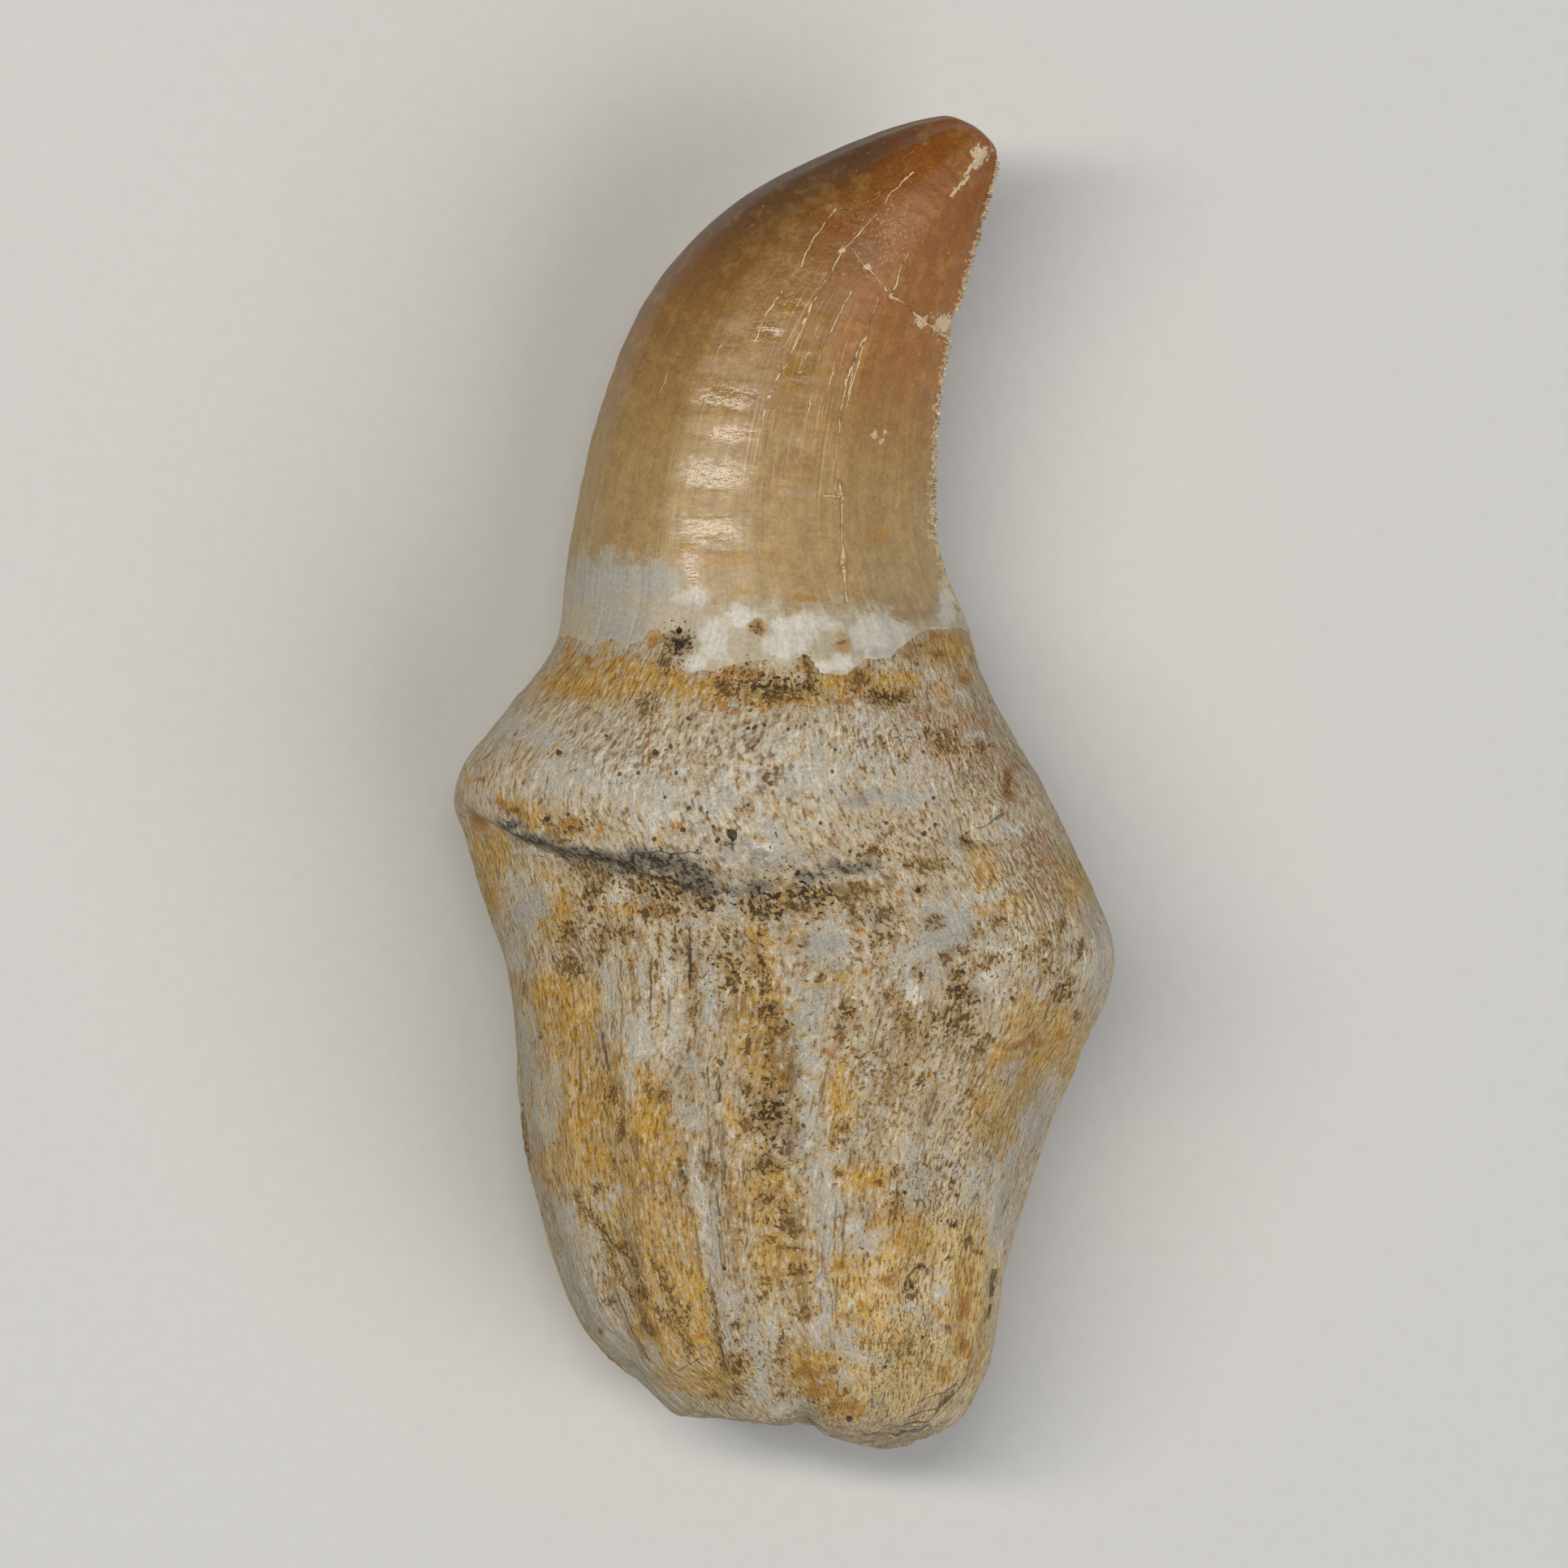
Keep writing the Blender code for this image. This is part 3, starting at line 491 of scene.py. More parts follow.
# %% Crumbs, shade and wide places on the front
# Brown crumbs:
BROWN_PATCHES = [
    (-7.2, 9.6, 1.1, 1.3), (-7.8, 8.3, 0.5, 0.6), (-7.7, 7.6, 0.25, 0.3), (-3.9, 6.6, 0.9, 0.8),
    (-2.3, 7.4, 1, 0.8), (-0.6, 6.6, 2, 0.9), (1.4, 8, 0.4, 0.8), (1.6, 6.9, 1, 0.7),
    (5.3, 6.8, 0.9, 0.8), (6.1, 6.2, 0.6, 0.5), (7.2, 5.9, 1.6, 0.45), (8.3, 6.3, 0.4, 0.3),
    (6.4, 5.5, 0.7, 0.4), (-0.4, 5.9, 1.6, 0.3), (-1.8, 10.5, 0.35, 0.5), (3.3, 9.5, 0.25, 0.1),
    (3.9, 9.6, 0.3, 0.2), (9.5, 9.5, 0.25, 0.2), (10.4, 8.7, 0.35, 0.2), (9.1, 8.1, 0.15, 0.25),
    (-9.3, 5.3, 0.8, 0.8), (-0.9, 0.5, 0.6, 1.1), (-18.2, -1.7, 0.4, 0.2), (-16.3, -3.6, 1, 0.3),
    (-14.6, -3.4, 0.7, 0.3), (-11, -5.2, 0.8, 0.3), (-10.2, -5.6, 0.5, 0.3), (-8.2, -6.4, 1.8, 0.35),
    (-13.5, -5.8, 1.2, 0.7), (-13.2, -7.2, 0.8, 0.9), (-12.6, -6.4, 0.8, 0.7), (-14.4, -5.3, 0.6, 0.5),
    (-14.5, -9.6, 0.7, 0.9), (-14.6, -12.3, 0.7, 1), (-12.6, -10.6, 0.5, 1.2), (-11.3, -9.7, 1.6, 0.6),
    (-6.4, -11.5, 0.4, 2.2), (-7.4, -10.5, 0.35, 1.2), (-6.3, -15.5, 0.3, 0.6), (-7.9, -8.2, 0.5, 0.7),
    (-7.2, -7.1, 2.4, 0.9), (-10.2, -6.6, 1.4, 0.7), (-8.6, -8.4, 1.6, 0.6), (0.2, -8, 2.6, 1),
    (4.4, -7.6, 1.2, 0.8), (6.6, -8.6, 1, 0.7), (9.4, -5.2, 1.4, 0.5), (6, -4.6, 1.4, 0.4),
    (-11.6, -20.5, 0.7, 1), (-11, -22.9, 0.35, 0.8), (-8.8, -20.2, 0.3, 0.5), (-7.9, -20.5, 0.4, 0.5),
    (-17.6, -13.8, 0.3, 0.8), (-5.6, -7.5, 0.9, 1), (5.1, -8.8, 0.4, 0.4), (7, -10.2, 1.1, 0.5),
    (-3.9, -10, 0.25, 0.6), (-3.6, -12.6, 0.7, 1.6), (-1.5, -11.8, 0.4, 0.9), (-1.3, -13.2, 0.5, 0.9),
    (-0.8, -15, 0.7, 1), (-0.1, -16.3, 0.5, 0.8), (-0.9, -17.2, 0.5, 0.5), (-0.8, -18.3, 0.4, 0.9),
    (-2.5, -17.3, 0.3, 0.7), (-4.4, -18.2, 0.25, 0.6), (-2.4, -20.2, 0.4, 0.5), (-1.1, -19.8, 0.4, 0.3),
    (0.2, -20.4, 0.4, 0.4), (-1, -22, 1.3, 1.8), (-2.5, -22.8, 0.5, 1), (1.3, -10.3, 0.2, 0.4),
    (2.3, -12.9, 0.4, 0.5), (5.3, -12.5, 0.3, 0.4), (4.2, -15, 0.7, 0.8), (3.9, -16.6, 0.3, 0.6),
    (5, -17.9, 0.3, 0.4), (6.7, -14.3, 0.5, 0.5), (7.8, -14.3, 0.4, 0.6), (8, -16, 0.6, 1.2),
    (3.9, -22.8, 0.5, 0.5), (3.6, -23.9, 0.5, 0.4), (12.3, -11, 0.7, 0.4), (12, -12.6, 0.6, 0.5),
    (11.9, -13.8, 0.9, 0.9), (11.3, -14.8, 0.6, 0.4), (12.5, -14.5, 0.4, 0.4), (18.5, -9.5, 0.5, 0.5),
    (20, -11, 0.3, 0.8), (17.4, -10.5, 0.4, 0.5), (19.2, -13, 0.5, 0.4), (18, -12.4, 0.4, 0.3),
    (10, -9, 0.7, 0.5), (12.8, -9.6, 0.5, 0.6), (9.2, -12.6, 0.5, 0.7), (13.8, -11.8, 0.5, 0.5),
    (11.2, -11.6, 0.5, 0.4), (14.4, -9.2, 0.5, 0.5), (6.4, 2.9, 0.3, 0.4), (8.2, 1.6, 0.3, 0.3),
    (9.4, 3.3, 0.3, 0.3), (7.2, 0.9, 0.3, 0.25), (5.6, 1.2, 0.25, 0.3), (-17.4, -1.5, 0.5, 0.25),
    (-15.6, -2.1, 0.5, 0.25), (-13.9, -2.7, 0.5, 0.3), (-1.6, -8.4, 1.6, 0.9), (2.4, -7.2, 1.8, 0.7),
    (5.4, -6.6, 1.2, 0.5), (10.6, -15.5, 0.9, 0.5), (12, -15.5, 0.8, 0.5), (11.4, -16.3, 0.6, 0.4),
    (12.5, -16.5, 0.5, 0.5), (13, -17.7, 0.6, 0.6), (13.8, -16.8, 0.6, 0.3), (16, -11.3, 0.3, 0.6),
    (17.5, -11.7, 0.4, 0.3), (18.8, -14, 0.7, 0.5), (20, -15.3, 0.3, 0.5), (9.3, -19.7, 0.6, 0.5),
    (9.7, -17.5, 0.3, 1.2), (12.7, -20.5, 0.3, 0.3), (9.1, -6.8, 0.4, 0.4), (12.6, -3.5, 0.4, 0.5),
    (12.9, -3.9, 0.3, 0.4), (11, 3, 1.2, 1.1), (13.2, 2.5, 0.6, 0.5), (15.2, 0, 0.4, 1.2),
    (-4, -5.4, 0.3, 0.4), (-1.3, -25.2, 0.8, 0.8), (-1.4, -27.6, 0.9, 0.8), (-0.2, -28.4, 0.6, 0.5),
    (0.2, -29.3, 0.9, 0.7), (0.9, -29.7, 0.4, 0.6), (-0.8, -30.4, 0.6, 0.5), (0.8, -31, 0.4, 0.3),
    (0.8, -32.3, 0.8, 0.6), (1.2, -33.2, 0.35, 0.2), (-1.4, -33.4, 0.7, 0.4), (-1.4, -34.3, 0.4, 0.5),
    (-3.1, -36.1, 0.45, 0.4), (-3, -38.6, 0.8, 0.8), (-3.2, -40.2, 0.6, 0.6), (-4.9, -41, 0.7, 0.3),
    (-4.9, -25.2, 0.9, 0.3), (-12.4, -27.1, 0.35, 0.5), (-11.4, -25.5, 0.25, 0.5), (-11, -31.2, 0.9, 0.4),
    (-9.2, -34.1, 0.8, 0.5), (-7.7, -35.2, 0.7, 0.5), (-12.4, -36.6, 0.4, 0.3), (-10.3, -36.8, 0.3, 0.4),
    (-7, -26, 0.4, 1.5), (6.4, -26.5, 0.3, 0.4), (7.1, -25.6, 0.3, 0.6), (7.7, -27.5, 0.5, 0.4),
    (7.2, -28.4, 0.7, 0.45), (11.2, -25.3, 0.35, 0.35), (11.3, -26.6, 0.25, 0.3), (11.5, -29.5, 0.5, 0.5),
    (11.7, -28.8, 0.3, 0.2), (12.7, -30.8, 0.4, 0.4), (13.2, -31.4, 0.3, 0.2), (11.2, -31.8, 0.3, 0.2),
    (3.6, -25.8, 0.4, 0.3), (8.5, -33.8, 0.5, 0.6), (9.2, -32.4, 0.5, 0.3), (1.3, -35.2, 0.5, 0.6),
    (10.9, -36.5, 0.4, 0.3), (-0.2, -37.2, 0.4, 0.8), (-0.3, -38.6, 0.5, 0.4), (3.4, -39.3, 0.3, 0.4),
    (0, -40.8, 0.4, 0.2), (1, -41.2, 0.2, 0.3), (4.2, -40.8, 0.3, 0.3), (13.8, -35.6, 0.2, 0.35),
    (9.6, -30.8, 0.25, 0.2),
]
# Black ones, thickest at the foot of the ledge, where they also darken the crevice as painted shade:
BLACK_PATCHES = [
    (-7.2, 9.5, 0.6, 0.7), (-1, 6.9, 1.7, 0.6), (1.5, 6.9, 0.8, 0.4), (7.3, 5.9, 1.3, 0.25),
    (6.1, 6.2, 0.4, 0.3), (-10.3, -5.7, 0.6, 0.3), (-8.4, -6.4, 1.4, 0.25), (-6.4, -6.8, 1.4, 0.6),
    (-1.2, -7.5, 1.5, 1), (-2, -7.3, 0.5, 0.35), (-1.3, -6.8, 0.6, 0.2), (1.5, -6.8, 2, 0.9),
    (3.4, -7.2, 0.6, 0.9), (-13.2, -7.3, 0.5, 0.4), (-17.6, -3.5, 0.7, 0.3), (-3.6, -12.6, 0.35, 0.9),
    (-0.8, -15, 0.4, 0.7), (2.3, -13.3, 0.3, 0.3), (4.2, -15.2, 0.5, 0.35), (-1, -21.8, 1.2, 1.6),
    (11.9, -13.8, 0.6, 0.7), (10.7, -15.5, 0.7, 0.3), (12.5, -14.6, 0.4, 0.4), (12.5, -3.4, 0.3, 0.35),
    (14, -33.6, 0.25, 1), (8.5, -33.8, 0.4, 0.5), (9.3, -32.4, 0.3, 0.2), (3.2, -26.6, 0.3, 0.35),
    (11.6, -29.6, 0.3, 0.3), (-16.7, -17, 0.35, 0.3), (-2.8, -36.9, 0.3, 0.3), (-11.7, -34.5, 0.5, 0.5),
    (-12.4, -32.8, 0.3, 0.25), (-7.5, -29.2, 0.35, 0.2), (-8.9, -34.3, 0.5, 0.25),
    (-4.7, -29.6, 0.2, 0.3), (-5.1, -33.5, 0.2, 0.15), (-4, -32.3, 0.18, 0.18), (9, -7, 0.25, 0.2),
    (-8, -4.8, 3, 0.5), (-3.7, -3.4, 0.7, 0.8), (-7.6, -7.4, 1.2, 0.4), (-5.2, -7.8, 0.8, 0.5),
    (-10.8, -6, 1.2, 0.5), (-8.8, -6.9, 1.4, 0.5), (-4.2, -7.5, 1.4, 0.8), (-2.2, -8, 1.6, 0.8),
    (18.8, -13.6, 0.4, 0.3), (12.2, -12, 0.5, 0.5), (9.3, -12.7, 0.3, 0.4), (-10.6, -31.6, 0.5, 0.4),
    (-9.6, -33.4, 0.5, 0.5), (-8, -35, 0.5, 0.3), (-0.6, -8.6, 1.4, 0.6), (2.6, -8, 0.9, 0.6),
    (-12, -6, 0.8, 0.4), (-14, -4.9, 0.8, 0.25),
]
# Painted shade: dark grey in the crevice under the ledge, whose underside is turned from the light:
SHADE_PATCHES = [
    (-18.2, -2.6, 1.6, 0.5), (-16.6, -3.6, 1.6, 0.65), (-14.6, -4.4, 1.7, 0.75), (-12.6, -4.9, 1.6, 0.85),
    (-10.6, -5.2, 1.6, 0.9), (-9.4, -4.6, 1.6, 0.7), (-8.2, -5.1, 1.8, 1), (-6.6, -5.7, 1.5, 1),
    (-5.6, -6.6, 1.2, 0.8), (-1.6, -6.9, 0.8, 0.6), (4.6, -5.4, 1.8, 0.4), (1.8, -5.9, 1.4, 0.4),
]
# Painted shade: bluish grey in smooth hollows, such as the upper slope of the hollow inside the bulge:
SLATE_SHADE_PATCHES = [
    (10.6, -9.8, 2.4, 1.5), (6.2, -8.8, 1.2, 0.8), (-3.2, -4.4, 1.3, 1.1), (-1, -9, 1.6, 0.6),
    (2.8, -10.4, 1.5, 1.2), (-17, -8, 1, 1.8), (5.6, -0.9, 3, 0.8), (-9.4, -4.4, 1.4, 0.5),
    (17.6, -22.5, 1, 3),
]
# Olive about the foot of the ledge: partly the sand's stain, partly painted shade under the ledge:
OLIVE_PATCHES = [
    (-2.4, -7.6, 1.8, 1.1), (0.8, -7.2, 2.2, 0.9), (4, -6.8, 2.2, 0.7), (6.8, -6.3, 1.6, 0.5),
    (-7.5, -7, 2.6, 0.8), (-12.5, -5.7, 2.2, 0.7), (9.6, -5.2, 1.6, 0.5), (-1.6, -4.6, 1, 0.6),
]
# Painted light: yellowish, lightening the root's end where it turns down on the right:
CREAM_LIGHT_PATCHES = [(9.0, -39.8, 4.6, 3.4), (12.3, -33.5, 2.4, 5.0), (7.0, -34.0, 3.5, 3.0)]
# Wide places where crumbs are thinly strewn:
SPECKLED_PATCHES = [
    (11, -17.5, 2.6, 2.8), (7, -20, 3.2, 5), (-3.5, -11.5, 3.5, 3.2), (-0.6, -24, 1.8, 8),
    (10.5, -27, 3.2, 3.6), (17, -11.5, 3.2, 3.4), (13, -23, 2.6, 4.6), (-13, -9.5, 3, 3.2),
    (-8, -8.2, 4.2, 1.8), (0.5, -7.4, 3.4, 1.8), (5.5, -11, 2.8, 2.2), (-3, -38.5, 2.4, 2.8),
    (3.5, -42, 2.4, 1.4), (8, -37.5, 3.2, 3.2), (-1, 6.6, 3.6, 1.4), (7, 6.4, 2.4, 1), (8, -3.6, 4, 1.6),
    (16, -6, 3, 3), (-13.5, -2.6, 2.4, 0.9), (9.5, 3.4, 3, 1.2), (13.4, 1, 2.4, 3),
]
# Wide places where thin lines run down the root:
LINED_PATCHES = [
    (-9.5, -13, 4, 4.5), (-3, -14, 4, 5), (2, -20, 3, 7), (-4.5, -28, 3, 8), (2.5, -30, 2.4, 8),
    (-12.5, -19, 3.2, 8), (7.5, -17, 3, 5), (12.5, -19, 2, 4), (17.5, -12, 2, 4), (-8.5, -24, 3, 6),
    (-11, -32, 2.6, 5),
]
# Wide places where short fibres show as ticks, with painted light and shade on their edges:
TICKED_PATCHES = [
    (-10, 2.2, 5, 3), (-2, 1.8, 5, 4), (6, 3, 4, 2.5), (12.5, 1, 3.5, 4), (16.5, -6, 3.6, 5),
    (-5, -2, 3.5, 2),
]
print("patches of crumbs:", len(BROWN_PATCHES + BLACK_PATCHES))

# %% Streaks, fine lines and pores
# A path and its half-width. Grey mineral:
GREY_STREAKS = [
    ([(-6.2, -24.2), (-6, -26), (-5.6, -28), (-5.2, -30), (-4.8, -32), (-4.2, -35)], 0.7),
    ([(2.8, -24), (2.6, -28), (2.6, -31), (2.4, -35)], 0.6),
    ([(1.5, -13.5), (1.6, -18), (1.7, -24)], 0.6),
    ([(-12.2, -10.9), (-11.7, -15)], 0.3),
    ([(-1.9, -36.7), (-1.5, -41)], 0.5),
    ([(-14.6, -31.5), (-13.9, -34.6), (-12.4, -37.2), (-10, -39.4), (-7.8, -41.4)], 0.6),
    ([(14.4, -26), (14.2, -31)], 0.6),
]
# The palest mineral:
WHITE_STREAKS = [
    ([(14.7, -30.8), (14.5, -34), (14, -37), (12.9, -40), (11.2, -42.4), (8.6, -43.7)], 0.22),
    ([(-5.9, -24.6), (-5.7, -27), (-5.4, -30)], 0.22),
    ([(-13.9, 10.9), (-13, 10.7), (-11, 10.9)], 0.2),
]
# Olive and brown, where layers show at the root's end:
OLIVE_STREAKS = [
    ([(13.8, -32.4), (13.7, -35), (13.3, -37.5), (12.2, -40), (10.6, -41.8)], 0.4),
    ([(-12.1, -33), (-11.7, -34.6), (-10.4, -36.8), (-9.7, -38.2)], 0.35),
]
BROWN_STREAKS = [
    ([(-13.6, -27.5), (-12.4, -30), (-11.4, -32.6), (-10.2, -34.8), (-8.6, -36.6)], 0.35),
    ([(-8.6, -31.8), (-7.6, -33.6), (-6.8, -35.6)], 0.3),
    ([(-5, -33.6), (-4.6, -36.4), (-4, -39)], 0.3),
    ([(-8.4, -10), (-8.3, -13), (-8.4, -16)], 0.18), ([(-6, -14), (-6, -17.5)], 0.16),
    ([(-5, -9.6), (-5, -12.4)], 0.16), ([(-10.4, -9.8), (-10.3, -12.2)], 0.16),
    ([(-10.6, -31.6), (-9.8, -33), (-9.2, -34.1), (-7.9, -34.9), (-7.3, -35.8), (-6.5, -36.7),
      (-6, -37.7)], 0.4),
    ([(-1.7, -9.5), (-1.4, -13), (-0.7, -16), (-0.8, -19)], 0.35),
    ([(-10.2, -37), (-9.3, -38.4)], 0.2),
]
# Fine dark lines in the bone: fibres, painted shadow in the creases under the ledge, layers at the root's
# end.
BONE_LINES = [
    ([(-18.9, -2.3), (-18.2, -2.9), (-17.3, -3.6), (-15.2, -3.9), (-14.4, -4.4), (-12.6, -4.9), (-11.8, -4.9),
      (-11, -5.2), (-10.3, -5.8)], 0.17),
    ([(-11.2, -5.3), (-10.2, -5.9), (-8.4, -6.4), (-6.4, -6.8), (-5.4, -7.2), (-4.4, -7.4)], 0.18),
    ([(-9.9, -4.3), (-9, -4.5), (-8.2, -4.3), (-7.3, -4.6), (-6.3, -4.4), (-5.4, -4.5)], 0.11),
    ([(-9.2, -4.9), (-8.3, -5.1), (-7.4, -4.9), (-6.5, -5.2)], 0.12),
    ([(12.4, -3.3), (13, -2.8), (13.7, -2.6), (14.3, -2.3), (14.8, -1.9)], 0.14),
    ([(-17, -4.8), (-16.3, -5)], 0.12), ([(-16.8, -3.7), (-15.6, -3.9)], 0.1),
    ([(-10.9, -11.6), (-10.9, -12.8)], 0.09), ([(-8.8, -11.4), (-8.8, -13.4), (-8.9, -15.4)], 0.1),
    ([(-12.4, -16.4), (-12.3, -17.6), (-11.9, -19.2)], 0.12),
    ([(-3.9, -24.9), (-3.9, -26.6), (-3.7, -27)], 0.11),
    ([(-4.5, -27.4), (-4.3, -28.8)], 0.1), ([(-5, -18.7), (-5, -20.3)], 0.08),
    ([(-4.3, -19.2), (-4.3, -21.3)], 0.1), ([(-6.4, -9.4), (-6.4, -13.6)], 0.12),
    ([(-7.4, -9.4), (-7.4, -11.4)], 0.1), ([(-1.5, -11.2), (-1.3, -14)], 0.1),
    ([(-1.7, -14.8), (-1.7, -16.2)], 0.1), ([(5, -30.8), (5.5, -31), (5.6, -31.6)], 0.09),
    ([(18.4, -13.2), (19, -13.4), (19.5, -13.2)], 0.1), ([(19.9, -10), (19.9, -11.2)], 0.08),
    ([(9.8, -33), (9.7, -32.3), (9.1, -32.1), (8.6, -32.6), (8.2, -33.3), (8.2, -34.2), (8.8, -34.5),
      (9.1, -34)], 0.15),
    ([(14.3, -32.4), (14, -33.4), (13.9, -34.6)], 0.2), ([(13.9, -34.9), (13.9, -36)], 0.14),
    ([(-12.9, -29.1), (-12.3, -29.8), (-11.8, -30.9)], 0.12),
    ([(7, -43.4), (9.5, -42.8), (11.2, -41.2), (12.3, -39.9)], 0.09),
    ([(8.3, -42.6), (10.2, -41.9), (11.4, -40.7)], 0.09),
    ([(9, -41.5), (10.5, -41), (11.6, -40.2)], 0.08),
    ([(5.2, -43.7), (7.5, -43.8), (9.8, -43.1)], 0.09), ([(-7, -39), (-5.6, -38.4)], 0.08),
]
# Open pores: x, y and radius.
PORES = [
    (-3.5, -3.3, 0.4), (-0.55, -3.25, 0.2), (-6.7, -2.9, 0.17), (-7.1, 10.4, 0.19), (-0.9, -4.1, 0.12),
    (-1.3, 4, 0.12), (-2.4, 3.8, 0.15), (-1.7, 2.9, 0.11), (-2.3, 2.2, 0.11), (-10.9, 0.7, 0.15),
    (-9.7, 0.8, 0.14), (-15, 2.1, 0.18), (-11.9, 3.3, 0.11), (-7.6, 2.6, 0.15), (-6.4, 4.5, 0.15),
    (-8.6, 2.2, 0.2), (-7.2, 0.8, 0.14), (-15.6, -2.1, 0.16), (-14.1, -1.8, 0.12), (-8.5, -3.5, 0.14),
    (-4.4, -3.6, 0.18), (-4.7, -2.7, 0.14), (-6.3, -1.5, 0.15), (-7.9, -0.8, 0.11), (-5.1, -1.8, 0.12),
    (0.25, 3.7, 0.13), (1.4, 4, 0.11), (3.2, 0.85, 0.12), (3.4, 2.3, 0.1), (7.6, 1.9, 0.1),
    (9.3, 2.2, 0.1), (10.1, -0.8, 0.13), (-2.4, -1.3, 0.12), (2.4, -2.5, 0.12), (6.8, -2.5, 0.12),
    (10.2, -2.6, 0.13), (9.5, -3.2, 0.17), (4.4, -4.4, 0.12), (0.1, -5.1, 0.12), (9.05, -7, 0.18),
    (9.4, -37.1, 0.13), (6.8, -39, 0.13), (4.4, -42.7, 0.2), (2, -41.8, 0.12), (8.1, -27.2, 0.12),
    (11.7, -27.5, 0.13), (8.1, -18.6, 0.12), (15.2, -14.2, 0.15), (3.8, -38.6, 0.12), (-13.2, -8.3, 0.2),
    (-4, -32.3, 0.14),
]
print("streaks:", len(GREY_STREAKS + WHITE_STREAKS + OLIVE_STREAKS + BROWN_STREAKS), "fine lines:",
      len(BONE_LINES), "pores:", len(PORES))

# %% Marks on the enamel
# Hairline cracks, filled with pale mineral and with painted shadow along their margins: a path and its
# half-width.
CRACKS = [
    ([(8.9, 42.6), (7.9, 42)], 0.05),
    ([(8.8, 41.2), (7.3, 39.8), (6.1, 38.1), (5, 36.9), (3.9, 35.8), (3, 34.1), (1.8, 32.1), (1.4, 30.9),
      (0.6, 29.3), (-0.4, 27.2), (-1.2, 25.4), (-1.7, 23.8)], 0.08),
    ([(3.6, 38.8), (2.6, 37.5), (1.7, 36.2), (1.1, 34.6)], 0.05),
    ([(-0.1, 33.2), (-1.2, 31.4), (-2, 29.6)], 0.06),
    ([(4.5, 33.2), (3.6, 31.4), (2.4, 28.6), (1.9, 26.5), (1.6, 25)], 0.07),
    ([(5.3, 30), (4.6, 28.2), (4.2, 27), (3.7, 24.6), (3.5, 21.8)], 0.055),
    ([(3.6, 20.6), (3.9, 19.5), (3.8, 17.2), (3.9, 14.9), (4.3, 12.1)], 0.1),
    ([(2.5, 19.4), (3.9, 19.3)], 0.08),
    ([(4.6, 35.9), (5.5, 34.8), (6.2, 34.1), (7.1, 32.7)], 0.07),
    ([(7.1, 32.8), (7.8, 32.6), (8.4, 32.1), (9.1, 31.5), (9.8, 31), (10.4, 30.6), (11, 30.3)],
     0.12),
    ([(8.4, 35.9), (7.6, 34.1), (7.2, 32.9)], 0.06),
    ([(-7, 29.1), (-7.9, 27.4), (-8.6, 25.9)], 0.04),
    ([(1.2, 31.4), (0.5, 30.1), (-0.6, 28.6)], 0.05),
    ([(2.3, 30.2), (1.4, 28.2), (0.9, 26.6)], 0.05),
    ([(-5.9, 25.9), (-3.4, 25.2)], 0.05),
    ([(2.3, 31.1), (1.5, 28.8), (0.6, 26.6)], 0.035), ([(0.1, 29.3), (-0.8, 26.9), (-1.6, 24.5)], 0.035),
    ([(3.7, 29.3), (2.9, 26.2), (2.1, 23.1)], 0.035), ([(-0.8, 25.2), (-0.7, 22.8), (-0.4, 20.4)], 0.03),
    ([(5.1, 28.6), (4.6, 26.9), (4.2, 25.2)], 0.035), ([(1.3, 24.9), (0.9, 22.6), (0.6, 20.4)], 0.03),
    ([(6.4, 33), (5.6, 30.6), (5, 28.4)], 0.03), ([(7.6, 38), (6.6, 36), (5.9, 34.4)], 0.035),
    ([(-3.2, 31.4), (-4.4, 29), (-5.2, 27)], 0.03), ([(2.7, 34.4), (1.9, 32.6), (1, 30.2)], 0.035),
    ([(-5.2, 20.2), (-2.4, 19.6)], 0.05),
]
# Pale chips and scratches:
CHIP_PATCHES = [
    (3.9, 35.8, 0.2, 0.2), (5.6, 34.7, 0.25, 0.2), (1, 30.1, 0.2, 0.2), (9.3, 31.2, 0.4, 0.3),
    (10.8, 31.1, 0.8, 0.65), (6.1, 23.5, 0.2, 0.25), (6.6, 23.1, 0.15, 0.22), (6.9, 23.7, 0.15, 0.15),
    (13.2, 42.5, 0.6, 0.45),
]
CHIP_STREAKS = [([(13.6, 42.4), (12.9, 41.6)], 0.25), ([(12.9, 42.0), (12.2, 41.0)], 0.12),
                ([(12.4, 40.9), (11.2, 39.6)], 0.1)]
# Where the enamel is still polished, between places that wear has dulled:
POLISHED_PATCHES = [
    (-4.1, 26, 2.4, 1.2), (-4.7, 20.8, 2.7, 1.4), (-4.9, 17, 2.6, 1.3), (-3.6, 23.5, 2, 0.8),
    (-6.4, 14, 0.8, 2.2), (-5.4, 12, 1.4, 0.8), (-1.2, 30.4, 1.4, 1), (0.4, 32.2, 1.2, 1),
    (0.6, 27.6, 1.2, 1.6),
]
# Where hairs of pale mineral are densest:
HAIRED_PATCHES = [
    (1.5, 31, 3.2, 5), (-2, 23, 3, 4), (6.5, 37, 3, 3), (2.5, 23, 2.4, 4),
]
# Golden stains near the enamel's foot, and amber ones on its concave side:
STAIN_PATCHES = [
    (-3.3, 15.1, 1.3, 0.6), (-6.6, 15.8, 0.7, 0.5), (6.2, 16.6, 1.1, 0.7), (-0.8, 15.2, 0.7, 0.4),
    (1.2, 12.5, 1.2, 0.3), (-2.6, 12.9, 1, 0.2),
]
AMBER_PATCHES = [(5.6, 32.4, 1.3, 1.6), (5.0, 29.0, 1.6, 2.4), (9.0, 37.5, 2.4, 2.0)]
